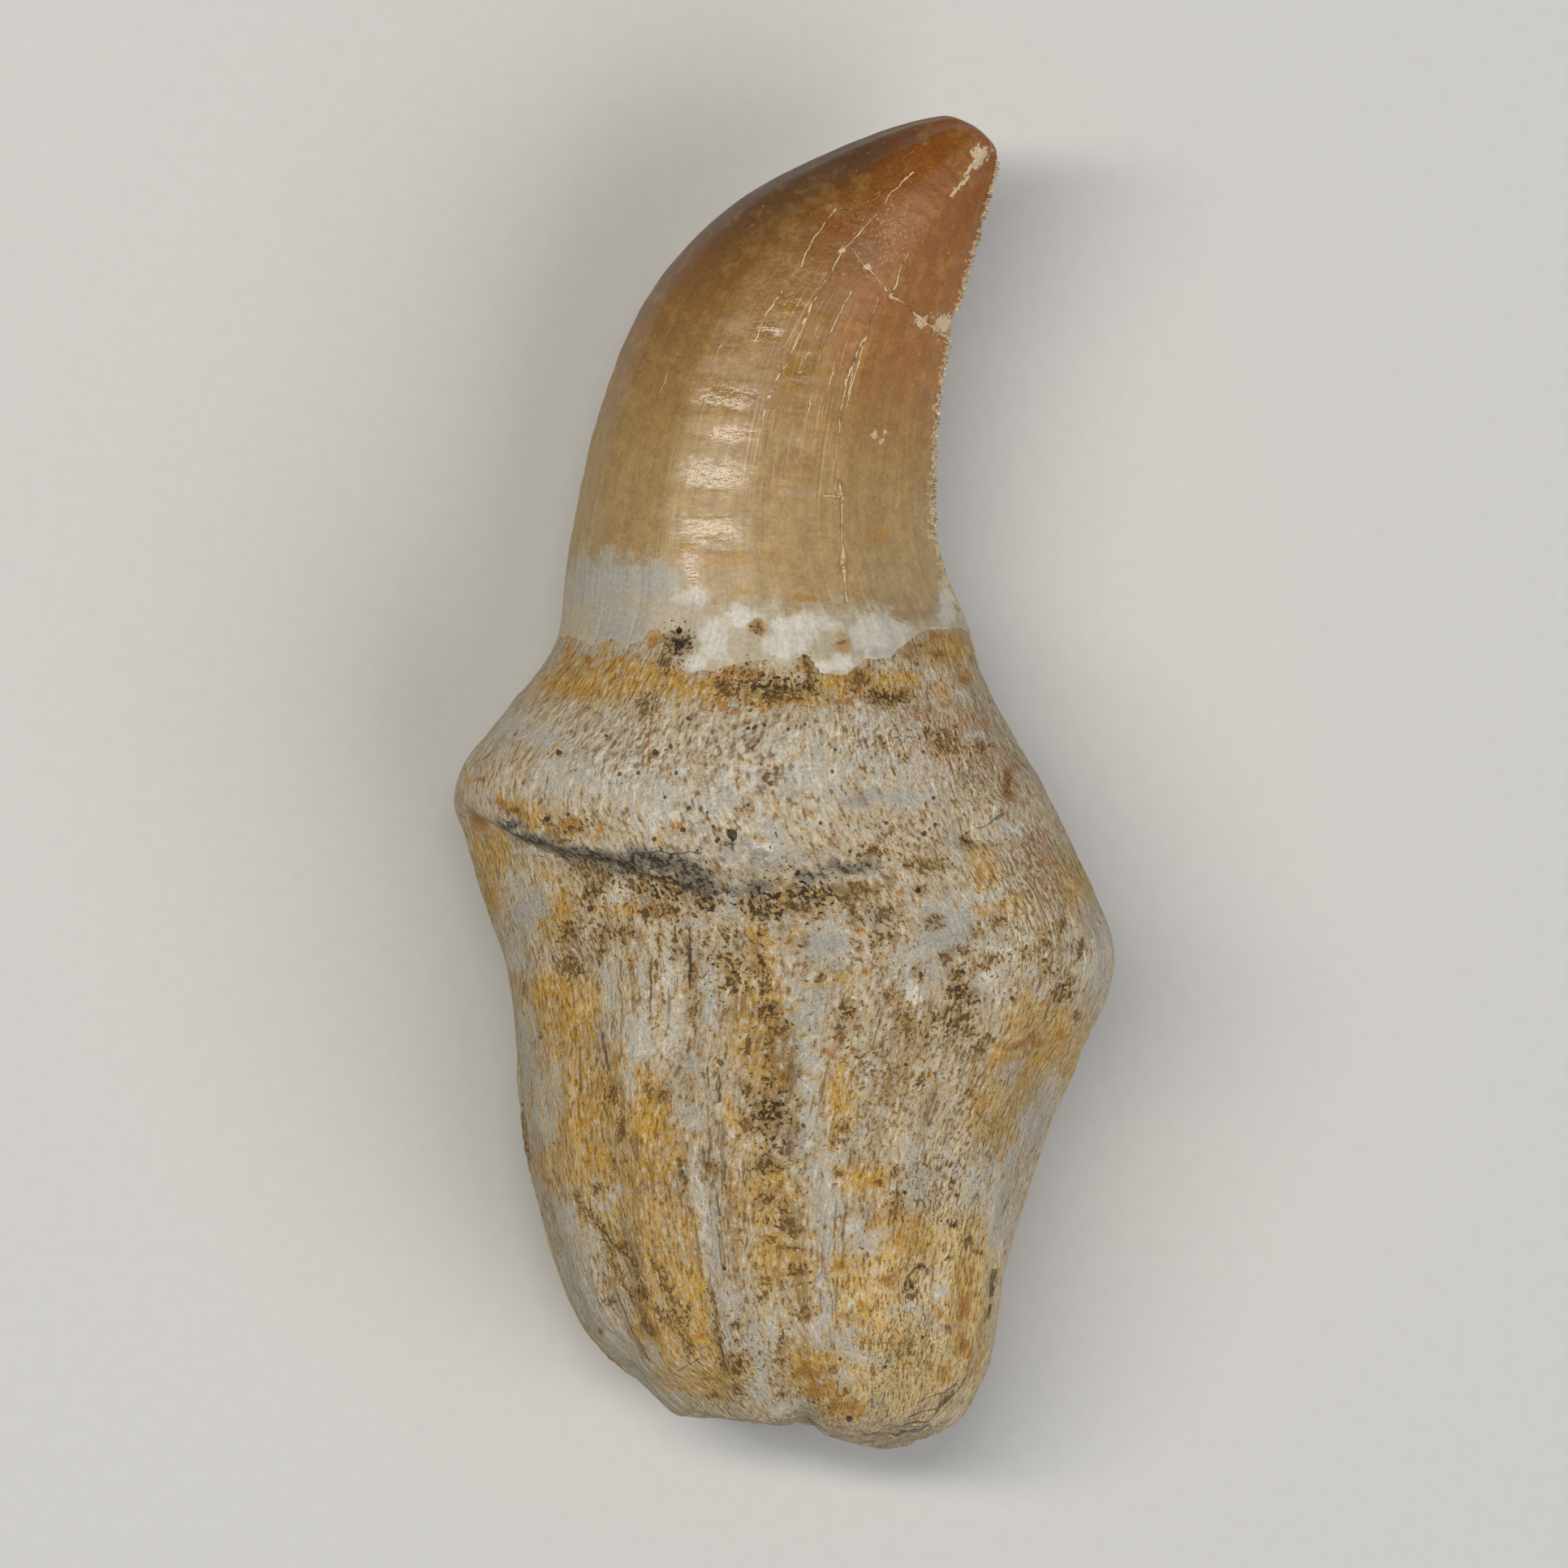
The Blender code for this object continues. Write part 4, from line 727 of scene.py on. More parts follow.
# The whitest and the coolest parts of the chalky band at the enamel's foot:
WHITE_PATCHES = [
    (-4.7, 9.6, 1, 1.4), (-6.2, 12.6, 1, 0.7), (-2.8, 11.3, 1.2, 0.7), (0, 9.3, 1.5, 0.9),
    (1.2, 10.8, 2.2, 0.8), (2.7, 8, 0.9, 0.5), (3.7, 8.2, 1, 0.6), (6.3, 10, 2, 1.6), (11, 12, 0.6, 1.5),
    (-5.9, 8.2, 0.8, 0.5),
]
COOL_PATCHES = [
    (-12.4, 13.6, 2, 1.9), (-11, 10.6, 2, 1.2), (-9, 13.6, 1.6, 1.2), (9.8, 8.2, 0.9, 0.8),
    (6.6, 8.8, 0.8, 0.5),
]
# The lower edge of the enamel, and the upper edge of the chalky band above it:
ENAMEL_EDGE = [
    (-15, 10.1), (-12.6, 9.6), (-11.7, 10), (-10.6, 9.2), (-8.9, 10.1), (-6.6, 7.8), (-4.2, 8),
    (-3.2, 8.6), (-1.2, 8.7), (0.2, 7.9), (1.4, 8.8), (2.3, 7.7), (4.2, 7.5), (5.6, 8.6), (7.1, 8.6),
    (7.9, 9.5), (9.9, 10.5), (12.1, 10.7),
]
CHALK_TOP = [
    (-14.5, 14.9), (-13.4, 15.8), (-11.6, 15.3), (-9.6, 15.4), (-7.6, 14.9), (-6.6, 14.1), (-5.8, 12.6),
    (-4.5, 11.9), (-2.4, 12.6), (0.8, 12.2), (4, 12.3), (6.7, 12), (8.2, 10.9), (10, 11.6), (11, 12.2),
]
print("cracks:", len(CRACKS), "chips:", len(CHIP_PATCHES), "polished places:", len(POLISHED_PATCHES))


# %% How strong a mark is at each place
def path_distance(x, y, path):
    """Distance to a path, its sign by side, and how far past the path's ends the place lies.

    For each straight stretch: the share along it, the foot of the perpendicular, the way to it. The
    nearest stretch counts, and the sign is that of the cross product with its direction.
    """
    best = np.full(x.shape, np.inf)
    signed, past = np.zeros(x.shape), np.zeros(x.shape)
    for (x0, y0), (x1, y1) in zip(path, path[1:]):
        dx, dy = x1 - x0, y1 - y0
        along = ((x - x0) * dx + (y - y0) * dy) / (dx * dx + dy * dy)
        share = np.clip(along, 0.0, 1.0)
        away_x, away_y = x - x0 - share * dx, y - y0 - share * dy
        distance = np.hypot(away_x, away_y)
        nearer = distance < best
        best = np.where(nearer, distance, best)
        signed = np.where(nearer, (dx * away_y - dy * away_x) / np.hypot(dx, dy), signed)
        past = np.where(nearer, np.abs(along - share) * np.hypot(dx, dy), past)
    return best, signed, past


STREAK_STRENGTH = 0.85


def marked(x, y, patches=(), streaks=()):
    """The strongest mark at each place: one half to the power of its squared distance in half-sizes."""
    strongest = np.zeros(x.shape)
    for centre_x, centre_y, half_x, half_y in patches:
        squared = ((x - centre_x) / half_x) ** 2 + ((y - centre_y) / half_y) ** 2
        strongest = np.maximum(strongest, 0.5**squared)
    for path, half_width in streaks:
        distance, _, _ = path_distance(x, y, path)
        strongest = np.maximum(strongest, STREAK_STRENGTH * 0.5 ** ((distance / half_width) ** 2))
    return strongest


centre = [np.array([value]) for value in BROWN_PATCHES[0][:2]]
print("a patch of crumbs, at its centre:", marked(*centre, BROWN_PATCHES)[0])

# %% Lines and pores as a way to the nearest
FAR = 10.0  # tells a shader that no mark is near
LINE_REACH = 0.6  # mm from a line's middle


def nearest_line(x, y, on_front, lines, evenness):
    """A vector that is shorter than 1 only on a line: side distance in half-widths, 0, and far.

    A side distance with its sign is a straight line across the crack, so it stays true between the
    mesh's points, and the crack stays thinner than their spacing. Evenness widens and narrows it.
    """
    best = np.full(x.shape, np.inf)
    across = np.full(x.shape, FAR)
    for path, half_width in lines:
        distance, signed, past = path_distance(x, y, path)
        taken = (distance < best) & (past == 0.0)
        best = np.where(taken, distance, best)
        across = np.where(taken, signed / half_width, across)
    far = np.where((best < LINE_REACH) & on_front, 0.0, FAR)
    return np.stack([across / evenness, np.zeros(x.shape), far], axis=-1)


def nearest_pore(x, y, on_front):
    """A vector that is shorter than 1 only inside a pore: the way from its centre, in radii."""
    best = np.full(x.shape, np.inf)
    way = np.zeros((*x.shape, 2))
    reach = np.zeros(x.shape)
    for centre_x, centre_y, radius in PORES:
        distance = np.hypot(x - centre_x, y - centre_y)
        nearer = distance < best
        best = np.where(nearer, distance, best)
        here = np.stack([x - centre_x, y - centre_y], axis=-1) / radius
        way = np.where(nearer[..., None], here, way)
        reach = np.where(nearer, radius + LINE_REACH / 2, reach)
    far = np.where((best < reach) & on_front, 0.0, FAR)
    return np.concatenate([way, far[..., None]], axis=-1)


centre = [np.array([value]) for value in PORES[0][:2]]
print("the way to a pore from its centre:", nearest_pore(*centre, True)[0].tolist())

# %% [markdown]
# Two skins that meet under each other.
# Enamel is a thin cap over the bone, and its ragged lower edge is where the bone begins. Each skin is
# made on its own grid, so that enamel can have fine rows and bone can have more. Near the edge
# each one dives under the other, which gives a clean, raised border without cutting any face.

# %% Rows, angles and normals of a skin
MIDDLE_LINE_POINTS = 2000


def position_at(y):
    """How far down the tooth, from 0 to 1, the middle of a section is at the given y."""
    positions = np.linspace(0, 1, MIDDLE_LINE_POINTS)
    rows, _ = spline(station_table(), positions)
    return float(np.interp(-y, -(rows[:, 1] + rows[:, 3]) / 2, positions))


def section_angles(front, back):
    """Half a turn over the front, then half a turn over the back."""
    upper = np.linspace(0, np.pi, front, endpoint=False)
    return np.concatenate([upper, np.linspace(np.pi, 2 * np.pi, back, endpoint=False)])


def skin_normals(points):
    """The cross product of the way round and the way along, pointing out of the tooth."""
    around = np.roll(points, -1, axis=1) - np.roll(points, 1, axis=1)
    normals = np.cross(around, np.gradient(points, axis=0))
    outward = points - points.mean(axis=1, keepdims=True)
    normals *= np.sign((normals * outward).sum())
    return normals / np.linalg.norm(normals, axis=2, keepdims=True)


print("the enamel ends", round(position_at(ENAMEL_END_Y), 3), "of the way down")

# %% Everything that is known at each place of a skin
FLOW_RADIUS = 14.0  # of the round coordinates that follow the fibres
FLOW_FULL_WIDTH = 9.0  # half the width, in mm, under which they shrink with the section
EDGE_NOISE = dict(size=1.6, octaves=3, seed=11)
EDGE_RAGGED = 0.35  # how far the noise moves the enamel's lower edge on the front, in mm
BACK_EDGE_RAGGED = 0.5
BACK_EDGE_Y = 9.4
BACK_EDGE_WAVE = 0.8
BACK_EDGE_SWING = 2.3  # mm along X for each radian of the wave
FRONT_FADE = (-0.05, 0.2)  # sines of the angle between which the front's marks fade in
FORM_FADE = (0.05, 0.45)  # the same for the heights of the front, and of the back


def skin_places(positions, angles):
    """Everything that a height or a mark is worked out from, as a dictionary of whole arrays."""
    points, root, length = bare_form(positions, angles)
    x, y, z = points[..., 0], points[..., 1], points[..., 2]
    deep = np.sin(angles)[None] * np.ones_like(root)
    turn = np.stack([np.cos(angles), np.sin(angles)], axis=-1)[None] * np.ones((len(positions), 1, 1))
    down = (positions * length)[:, None, None] * np.ones((1, len(angles), 1))
    shrink = np.clip(np.ptp(x, axis=1) / 2 / FLOW_FULL_WIDTH, 0.0, 1.0)[:, None, None]
    flow = np.concatenate([FLOW_RADIUS * shrink * turn, down], axis=-1)
    edge_noise = rough_noise(points, **EDGE_NOISE)
    edge_front = np.interp(x, *np.transpose(ENAMEL_EDGE)) + EDGE_RAGGED * edge_noise
    edge_wave = BACK_EDGE_WAVE * np.sin(x / BACK_EDGE_SWING)
    edge_back = BACK_EDGE_Y + edge_wave + BACK_EDGE_RAGGED * edge_noise
    front = rise(deep, *FRONT_FADE)
    over_edge = y - (front * edge_front + (1 - front) * edge_back)
    return dict(points=points, root=root, x=x, y=y, z=z, deep=deep, flow=flow, front=front,
                over_edge=over_edge, angles=angles)


def coarse_height(p):
    """The heights that the solid has too, each on its own side of the tooth."""
    height = front_height(p["x"], p["y"]) * rise(p["deep"], *FORM_FADE)
    height += back_height(p["x"], p["y"]) * rise(-p["deep"], *FORM_FADE)
    height += cleft_height(p["x"], p["y"]) + lump_height(p["x"], p["y"], p["z"]) * p["root"]
    return height + crown_facets(p["angles"]) * (1 - p["root"])


TRIAL_ROWS, TRIAL_ANGLES = 60, 40
trial = skin_places(np.linspace(0, 1, TRIAL_ROWS), section_angles(TRIAL_ANGLES, TRIAL_ANGLES))
print("the solid's own forms reach", round(float(coarse_height(trial).max()), 1), "mm over the bare form")

# %% [markdown]
# Fine relief.
# Enamel has faint rings of growth and lengthwise strokes. Bone has lumps, fibres that run down the
# tooth and crumbly hollows where it is brown. Heights of a few hundredths of a millimetre are enough:
# the light does the rest.

# %% Relief of the enamel
# Growth rings of the enamel: y where x is -4, and depth.
RINGS = [
    (30.6, 0.02), (27.6, 0.03), (25.3, 0.05), (23.3, 0.04), (19.9, 0.06), (18.2, 0.02), (16.1, 0.05),
]
RINGS_X = -4.0
RING_HALF_WIDTH = 0.45
RING_LEAN = 0.13  # rings drop this far per mm towards the keel
RING_NOISE = dict(size=4.0, seed=21)
RING_BEND = 0.35  # how far the noise moves a ring, in mm
RING_STRENGTH, RING_UNEVENNESS = 0.6, 0.5
WAVE_LENGTH = 2.7  # of the slow swells between the rings
WAVE_BEND = 2.5  # how far the noise shifts them, in radians
WAVE_STRENGTH, WAVE_UNEVENNESS = 0.5, 0.5
WAVE_HEIGHT = 0.016
STROKE_NOISE = dict(size=(0.6, 0.6, 9.0), seed=22)
STROKE_HEIGHT = 0.010
SWELL_NOISE = dict(size=2.2, seed=23)
SWELL_HEIGHT = 0.03
KEEL_HALF_TURN = 0.28  # of the cutting edge's worn band, round the section, in radians
NOTCH_Y = 31.3  # where a chip has nicked the cutting edge
NOTCH_HALF_LENGTH = 0.8
NOTCH_DEPTH = 0.22


def enamel_relief(p):
    """Growth rings as bells, bent by noise, over a slow sine, with long strokes and gentle swells."""
    bend = lattice_noise(p["points"], **RING_NOISE)
    height = p["y"] + RING_LEAN * (p["x"] - RINGS_X) + RING_BEND * bend
    rings = sum(depth * bell(height - at, RING_HALF_WIDTH) for at, depth in RINGS)
    rings *= RING_STRENGTH + RING_UNEVENNESS * bend
    slow = np.sin(2 * np.pi * p["flow"][..., 2] / WAVE_LENGTH + WAVE_BEND * bend)
    slow *= WAVE_STRENGTH + WAVE_UNEVENNESS * bend
    strokes = lattice_noise(p["flow"], **STROKE_NOISE)
    swell = lattice_noise(p["points"], **SWELL_NOISE)
    return WAVE_HEIGHT * slow - rings + STROKE_HEIGHT * strokes + SWELL_HEIGHT * swell


def near_keel(p):
    """1 on the cutting edge, and a bell of the turn away from it on either side."""
    turned = bell(p["angles"], KEEL_HALF_TURN) + bell(p["angles"] - 2 * np.pi, KEEL_HALF_TURN)
    return turned[None] * np.ones_like(p["x"])


enamel_sample = enamel_relief(trial)
print("enamel relief runs from", round(enamel_sample.min(), 3), "to", round(enamel_sample.max(), 3), "mm")

# %% Relief of the bone
LOWER_ROOT = (-10.0, -6.0)  # y between which the short fibres give way to long ribs
LUMP_NOISE = dict(size=2.4, octaves=3, seed=31)
FINE_LUMP_HEIGHT = 0.10
RIB_NOISE = dict(size=(1.0, 1.0, 13.0), seed=34)
LONG_RIB_HEIGHT = 0.16
FIBRE_NOISE = dict(size=(0.5, 0.5, 2.0), seed=35)
FIBRE_HEIGHT = 0.08
FIBRE_LOSS = 0.045  # of that height, on the lower root
CRUMB_NOISE = dict(size=0.75, seed=36)
CRUMB_HEIGHT = 0.16
CRUMBS_OVER_FOOT = 0.2  # mm up from the ledge's foot
CRUMBS_HALF_WIDTH = 0.8
CRUMBS_STEP = (0.2, 1.0)  # heights of the ledge's step between which they set in
PIT_NOISE = dict(size=0.55, seed=37)
PIT_EDGE = (0.0, 0.7)
PIT_DEPTH = 0.16
PORE_DEPTH = 1.6  # in radii
SMALLEST_HOLE = 0.15  # mm of radius: the grid is too coarse for less


def bone_relief(p, brown):
    """Lumps, long ribs, short fibres, crumbs at the ledge's foot and pits where the bone is brown."""
    lower = 1 - rise(p["y"], *LOWER_ROOT)
    lumps = FINE_LUMP_HEIGHT * rough_noise(p["points"], **LUMP_NOISE)
    ribs = LONG_RIB_HEIGHT * lower * lattice_noise(p["flow"], **RIB_NOISE)
    fibres = (FIBRE_HEIGHT - FIBRE_LOSS * lower) * lattice_noise(p["flow"], **FIBRE_NOISE)
    foot_y, step, _ = ledge_foot(p["x"])
    crumbs = np.maximum(lattice_noise(p["points"], **CRUMB_NOISE), 0.0)
    at_foot = bell(p["y"] - foot_y - CRUMBS_OVER_FOOT, CRUMBS_HALF_WIDTH)
    at_foot = at_foot * rise(step, *CRUMBS_STEP) * p["front"]
    pits = rise(lattice_noise(p["points"], **PIT_NOISE), *PIT_EDGE)
    return lumps + ribs + fibres + CRUMB_HEIGHT * crumbs * at_foot - PIT_DEPTH * pits * brown


def pore_height(p):
    """A bell-shaped hole for each pore that the grid is fine enough to hold."""
    total = np.zeros_like(p["x"])
    for centre_x, centre_y, radius in PORES:
        distance = np.hypot(p["x"] - centre_x, p["y"] - centre_y)
        total -= PORE_DEPTH * radius * bell(distance, radius) * (radius > SMALLEST_HOLE)
    return total * (p["deep"] > 0)


bone_sample = bone_relief(trial, 0.0)
print("bone relief runs from", round(bone_sample.min(), 2), "to", round(bone_sample.max(), 2), "mm")

# %% Every stain at each place of a skin
STAIN_BEND = dict(amount=0.35, size=1.6, seed=61)
BEND_OCTAVES = 2
BEND_SEED_STEP = 5
BACK_STAIN_SIZE = (4.5, 4.5, 8.0)
BACK_STAIN_OCTAVES = 3
BACK_STAIN_FADE = 0.7  # how far above its start a noise is a full stain


def bent(p, amount, size, seed):
    """The plan places moved about by noise, so that what is drawn there has uneven edges."""
    bend_x = rough_noise(p["points"], size, BEND_OCTAVES, seed)
    bend_y = rough_noise(p["points"], size, BEND_OCTAVES, seed + BEND_SEED_STEP)
    return p["x"] + amount * bend_x, p["y"] + amount * bend_y


BONE_MARKS = (
    # name, patches, streaks, and for the back: seed and where its noise starts
    ("ground", OCHRE_PATCHES, (), 38, -0.2),
    ("grey", GREY_PATCHES, GREY_STREAKS, 41, 0.0),
    ("white", WHITE_MINERAL_AND_HIGHLIGHTS, WHITE_STREAKS, 42, 0.35),
    ("gold", GOLD_PATCHES, (), 44, 0.05),
    ("rust", RUST_PATCHES, (), 51, 0.45),
    ("pink", PINK_PATCHES, (), 52, 0.4),
    ("brown", BROWN_PATCHES, BROWN_STREAKS, 47, 0.3),
    ("black", BLACK_PATCHES, (), 48, 0.6),
    ("speckled", SPECKLED_PATCHES, (), 49, 0.0),
    ("lined", LINED_PATCHES, (), 53, 0.1),
    ("ticked", TICKED_PATCHES, (), 54, 0.1),
    ("olive", OLIVE_PATCHES, OLIVE_STREAKS, 55, 0.6),
    ("shade", SHADE_PATCHES, (), 56, 0.7),
    ("cream", CREAM_LIGHT_PATCHES, (), 57, 0.3),
    ("slate", SLATE_SHADE_PATCHES, (), 58, 0.4),
)


def bone_marks(p):
    """Each stain from 0 to 1: the drawn marks on the front, and noise on the back."""
    marks = {}
    x, y = bent(p, **STAIN_BEND)
    for name, patches, streaks, seed, low in BONE_MARKS:
        drawn = marked(x, y, patches, streaks)
        noise = rough_noise(p["flow"], BACK_STAIN_SIZE, BACK_STAIN_OCTAVES, seed)
        spread = rise(noise, low, low + BACK_STAIN_FADE)
        marks[name] = p["front"] * drawn + (1 - p["front"]) * spread
    return marks


print("stains:", ", ".join(name for name, *_ in BONE_MARKS))

# %% [markdown]
# From grid to mesh.
# A grid that closes round needs faces between its rows and a fan at each end. Marks go onto the mesh
# as named attributes, one number or vector for each point, which materials read by name.

# %% Build a closed mesh from a grid
def grid_faces(rows, around):
    """Quads between rows, then a fan at each end, all facing outwards."""
    row, step = np.meshgrid(np.arange(rows - 1), np.arange(around), indexing="ij")
    first = row * around + step
    second = row * around + (step + 1) % around
    quads = np.stack([first, second, second + around, first + around], axis=-1).reshape(-1, 4)
    rim = np.arange(around)
    following = (rim + 1) % around
    start, end, last = rows * around, rows * around + 1, (rows - 1) * around
    start_fan = np.stack([np.full(around, start), following, rim], axis=-1)
    end_fan = np.stack([np.full(around, end), last + rim, last + following], axis=-1)
    return quads.tolist() + start_fan.tolist() + end_fan.tolist()


def with_ends(grid, start=None, end=None):
    """A grid's values as a list, then one for each end: the given value, or its row's mean."""
    values = grid.reshape(grid.shape[0] * grid.shape[1], *grid.shape[2:])
    start = grid[0].mean(axis=0) if start is None else np.asarray(start)
    end = grid[-1].mean(axis=0) if end is None else np.asarray(end)
    return np.concatenate([values, start[None], end[None]])


def mesh_object(name, points, faces):
    """A smooth object at the origin, with its place in its mesh."""
    mesh = bpy.data.meshes.new(name)
    mesh.from_pydata(points, [], faces)
    mesh.shade_smooth()
    piece = bpy.data.objects.new(name, mesh)
    bpy.context.scene.collection.objects.link(piece)
    return piece


def grid_object(name, points, start, end, attributes):
    """A closed grid as an object, with an attribute for each named grid of values."""
    piece = mesh_object(name, with_ends(points, start, end), grid_faces(*points.shape[:2]))
    for label, grid in attributes.items():
        kind, key = ("FLOAT_VECTOR", "vector") if grid.ndim == 3 else ("FLOAT", "value")
        attribute = piece.data.attributes.new(label, kind, "POINT")
        attribute.data.foreach_set(key, with_ends(grid).astype(np.float32).ravel())
    return piece


print("a grid of 3 rows of 4 makes", len(grid_faces(3, 4)), "faces")


# %% Where the skins dive, and how wide a drawn line is
ENAMEL_THICKNESS = 0.05
DIVE_DEPTH = 0.7
ENAMEL_DIVES = (-0.4, 0.0)  # from its edge, in mm up the tooth
BONE_DIVES = (0.15, 0.6)
CROWN_LAST_Y = 5.6  # the enamel's grid ends here, under the bone
ROOT_FIRST_Y = 13.2  # and the bone's starts here, under the enamel
POLE_FADE = 0.024  # share of the tooth's length, at each end, over which the heights die away


def line_evenness(p, middle, swing, limits, size, seed):
    """The width of a drawn line at each place, in its own half-widths: a middle value and noise."""
    return np.clip(middle + swing * lattice_noise(p["points"], size, seed), *limits)


print("enamel stands", ENAMEL_THICKNESS, "mm over the bone")

# %% The bone skin
ROOT_ROWS, ROOT_FRONT, ROOT_BACK = 400, 160, 84
RELIEF_ENDS = (-1.2, 0.2)  # from the enamel's edge, in mm up the tooth
RELIEF_FULL = 0.2  # the height that counts as 1 in the mark that materials read
BONE_LINE_BEND = dict(amount=0.10, size=0.9, seed=81)
BONE_LINE_EVENNESS = dict(middle=0.8, swing=0.7, limits=(0.2, 1.5), size=0.8, seed=82)


def bone_skin():
    """The root from just under the enamel down to its end."""
    share = np.linspace(0, 1, ROOT_ROWS + 1)[:-1]
    first = position_at(ROOT_FIRST_Y)
    positions = first + (1 - first) * share
    p = skin_places(positions, section_angles(ROOT_FRONT, ROOT_BACK))
    marks = bone_marks(p)
    relief = bone_relief(p, marks["brown"])
    under = rise(p["over_edge"], *BONE_DIVES)
    relief *= 1 - rise(p["over_edge"], *RELIEF_ENDS)
    height = coarse_height(p) + relief + pore_height(p) * (1 - under) - DIVE_DEPTH * under
    height *= rise(1 - positions, 0.0, POLE_FADE)[:, None]
    points = p["points"] + skin_normals(p["points"]) * height[..., None]
    marks["relief"] = np.clip(relief / RELIEF_FULL, -1, 1)
    marks["flow"] = p["flow"]
    marks["pore"] = nearest_pore(p["x"], p["y"], p["deep"] > 0)
    x, y = bent(p, **BONE_LINE_BEND)
    evenness = line_evenness(p, **BONE_LINE_EVENNESS)
    marks["line"] = nearest_line(x, y, p["deep"] > 0, BONE_LINES, evenness)
    return points, marks


bone_points, bone_values = bone_skin()
print("bone skin:", bone_points.shape[0], "rows of", bone_points.shape[1])

# %% The enamel skin
CROWN_ROWS, CROWN_FRONT, CROWN_BACK = 330, 190, 100
CHIP_DEPTH = 0.06
CRUMB_PIT_NOISE = dict(size=0.5, seed=37)
CRUMB_PIT_EDGE = (-0.1, 0.7)
CRUMB_PIT_DEPTH = 0.12
BACK_CHALK_Y = 12.6
BACK_CHALK_WAVE = 1.2
BACK_CHALK_SWING = 3.0  # mm along X for each radian of the wave
BACK_CHALK_START = 1.0
CRACK_BEND = dict(amount=0.10, size=0.6, seed=71)
CRACK_EVENNESS = dict(middle=0.75, swing=0.9, limits=(0.12, 1.6), size=1.1, seed=72)
# The convex flank's upper part is darkened towards its edge: partly the enamel's own olive-brown, partly
# painted shade where the crown turns away.
FLANK_STARTS = (0.0, 0.22)  # shares of the crown's length, from its tip
FLANK_ENDS = (0.10, 0.85)
REDDISH_ACROSS = (-0.2, 0.6)  # -1 is the convex edge and 1 the keel
REDDISH_DOWN, REDDISH_HALF_LENGTH = 0.4, 0.3
BACK_POLISH = 0.55


def enamel_skin():
    """The crown from its tip to just past the enamel's edge."""
    share = (np.arange(CROWN_ROWS) + 0.5) / CROWN_ROWS
    positions = position_at(CROWN_LAST_Y) * share
    p = skin_places(positions, section_angles(CROWN_FRONT, CROWN_BACK))
    marks = bone_marks(p)
    chip = marked(p["x"], p["y"], CHIP_PATCHES, CHIP_STREAKS) * p["front"]
    brown = marks["brown"] * p["front"]
    relief = enamel_relief(p) - CHIP_DEPTH * chip
    pits = rise(lattice_noise(p["points"], **CRUMB_PIT_NOISE), *CRUMB_PIT_EDGE)
    relief -= CRUMB_PIT_DEPTH * brown * pits
    relief -= NOTCH_DEPTH * bell(p["y"] - NOTCH_Y, NOTCH_HALF_LENGTH) * near_keel(p)
    under = 1 - rise(p["over_edge"], *ENAMEL_DIVES)
    height = coarse_height(p) + relief + ENAMEL_THICKNESS * (1 - under) - DIVE_DEPTH * under
    height *= rise(positions, 0.0, POLE_FADE)[:, None]
    points = p["points"] + skin_normals(p["points"]) * height[..., None]
    chalk_front = np.interp(p["x"], *np.transpose(CHALK_TOP)) - p["y"]
    chalk_wave = BACK_CHALK_WAVE * np.sin(p["x"] / BACK_CHALK_SWING + BACK_CHALK_START)
    chalk_back = BACK_CHALK_Y + chalk_wave - p["y"]
    ones = np.ones_like(p["x"])
    down = positions[:, None] / position_at(ENAMEL_END_Y) * ones
    across = np.cos(p["angles"])[None] * ones
    x, y = bent(p, **CRACK_BEND)
    reddish = rise(across, *REDDISH_ACROSS) * bell(down - REDDISH_DOWN, REDDISH_HALF_LENGTH)
    flank = rise(-across, 0.0, 1.0) * rise(down, *FLANK_STARTS) * (1 - rise(down, *FLANK_ENDS))
    evenness = line_evenness(p, **CRACK_EVENNESS)
    values = {
        "flow": p["flow"],
        "down": down,
        "flank": flank,
        "red": np.maximum(reddish, marked(x, y, AMBER_PATCHES) * p["front"]),
        "chalk": p["front"] * chalk_front + (1 - p["front"]) * chalk_back,
        "white": marked(x, y, WHITE_PATCHES) * p["front"],
        "cool": marked(x, y, COOL_PATCHES) * p["front"],
        "gold": marked(x, y, STAIN_PATCHES + GOLD_PATCHES + RUST_PATCHES) * p["front"],
        "chip": chip,
        "haired": marked(x, y, HAIRED_PATCHES) * p["front"],
        "polish": p["front"] * marked(x, y, POLISHED_PATCHES) + (1 - p["front"]) * BACK_POLISH,
        "keel": near_keel(p),
        "brown": brown,
        "black": marks["black"] * p["front"],
        "crack": nearest_line(x, y, p["deep"] > 0, CRACKS, evenness),
        "pore": nearest_pore(p["x"], p["y"], p["deep"] > 0),
    }
    return points, values


enamel_points, enamel_values = enamel_skin()
print("enamel skin:", enamel_points.shape[0], "rows of", enamel_points.shape[1])

# %% [markdown]
# Serrations.
# The crown's concave edge is a cutting edge with tiny teeth of its own, about thirteen in five
# millimetres. Bumps in a texture wouldn't show at the outline, so each denticle is a small bead half
# sunk in the keel, made once as a sphere and carried along the edge as one array. A chip has broken
# off a few, so none are set in its notch.

# %% Denticles along the keel
DENTICLE_PITCH = 0.38
DENTICLE_RADII = (0.18, 0.26, 0.24)  # along the edge, out of it and across it
DENTICLES_TOP_Y = 42.0
DENTICLES_BOTTOM_Y = 17.5
BEAD_SIDES, BEAD_RINGS = 8, 5
DENTICLE_WEAR, DENTICLE_UNEVENNESS = 0.8, 0.3
DENTICLE_NOISE = dict(size=0.9, seed=51)


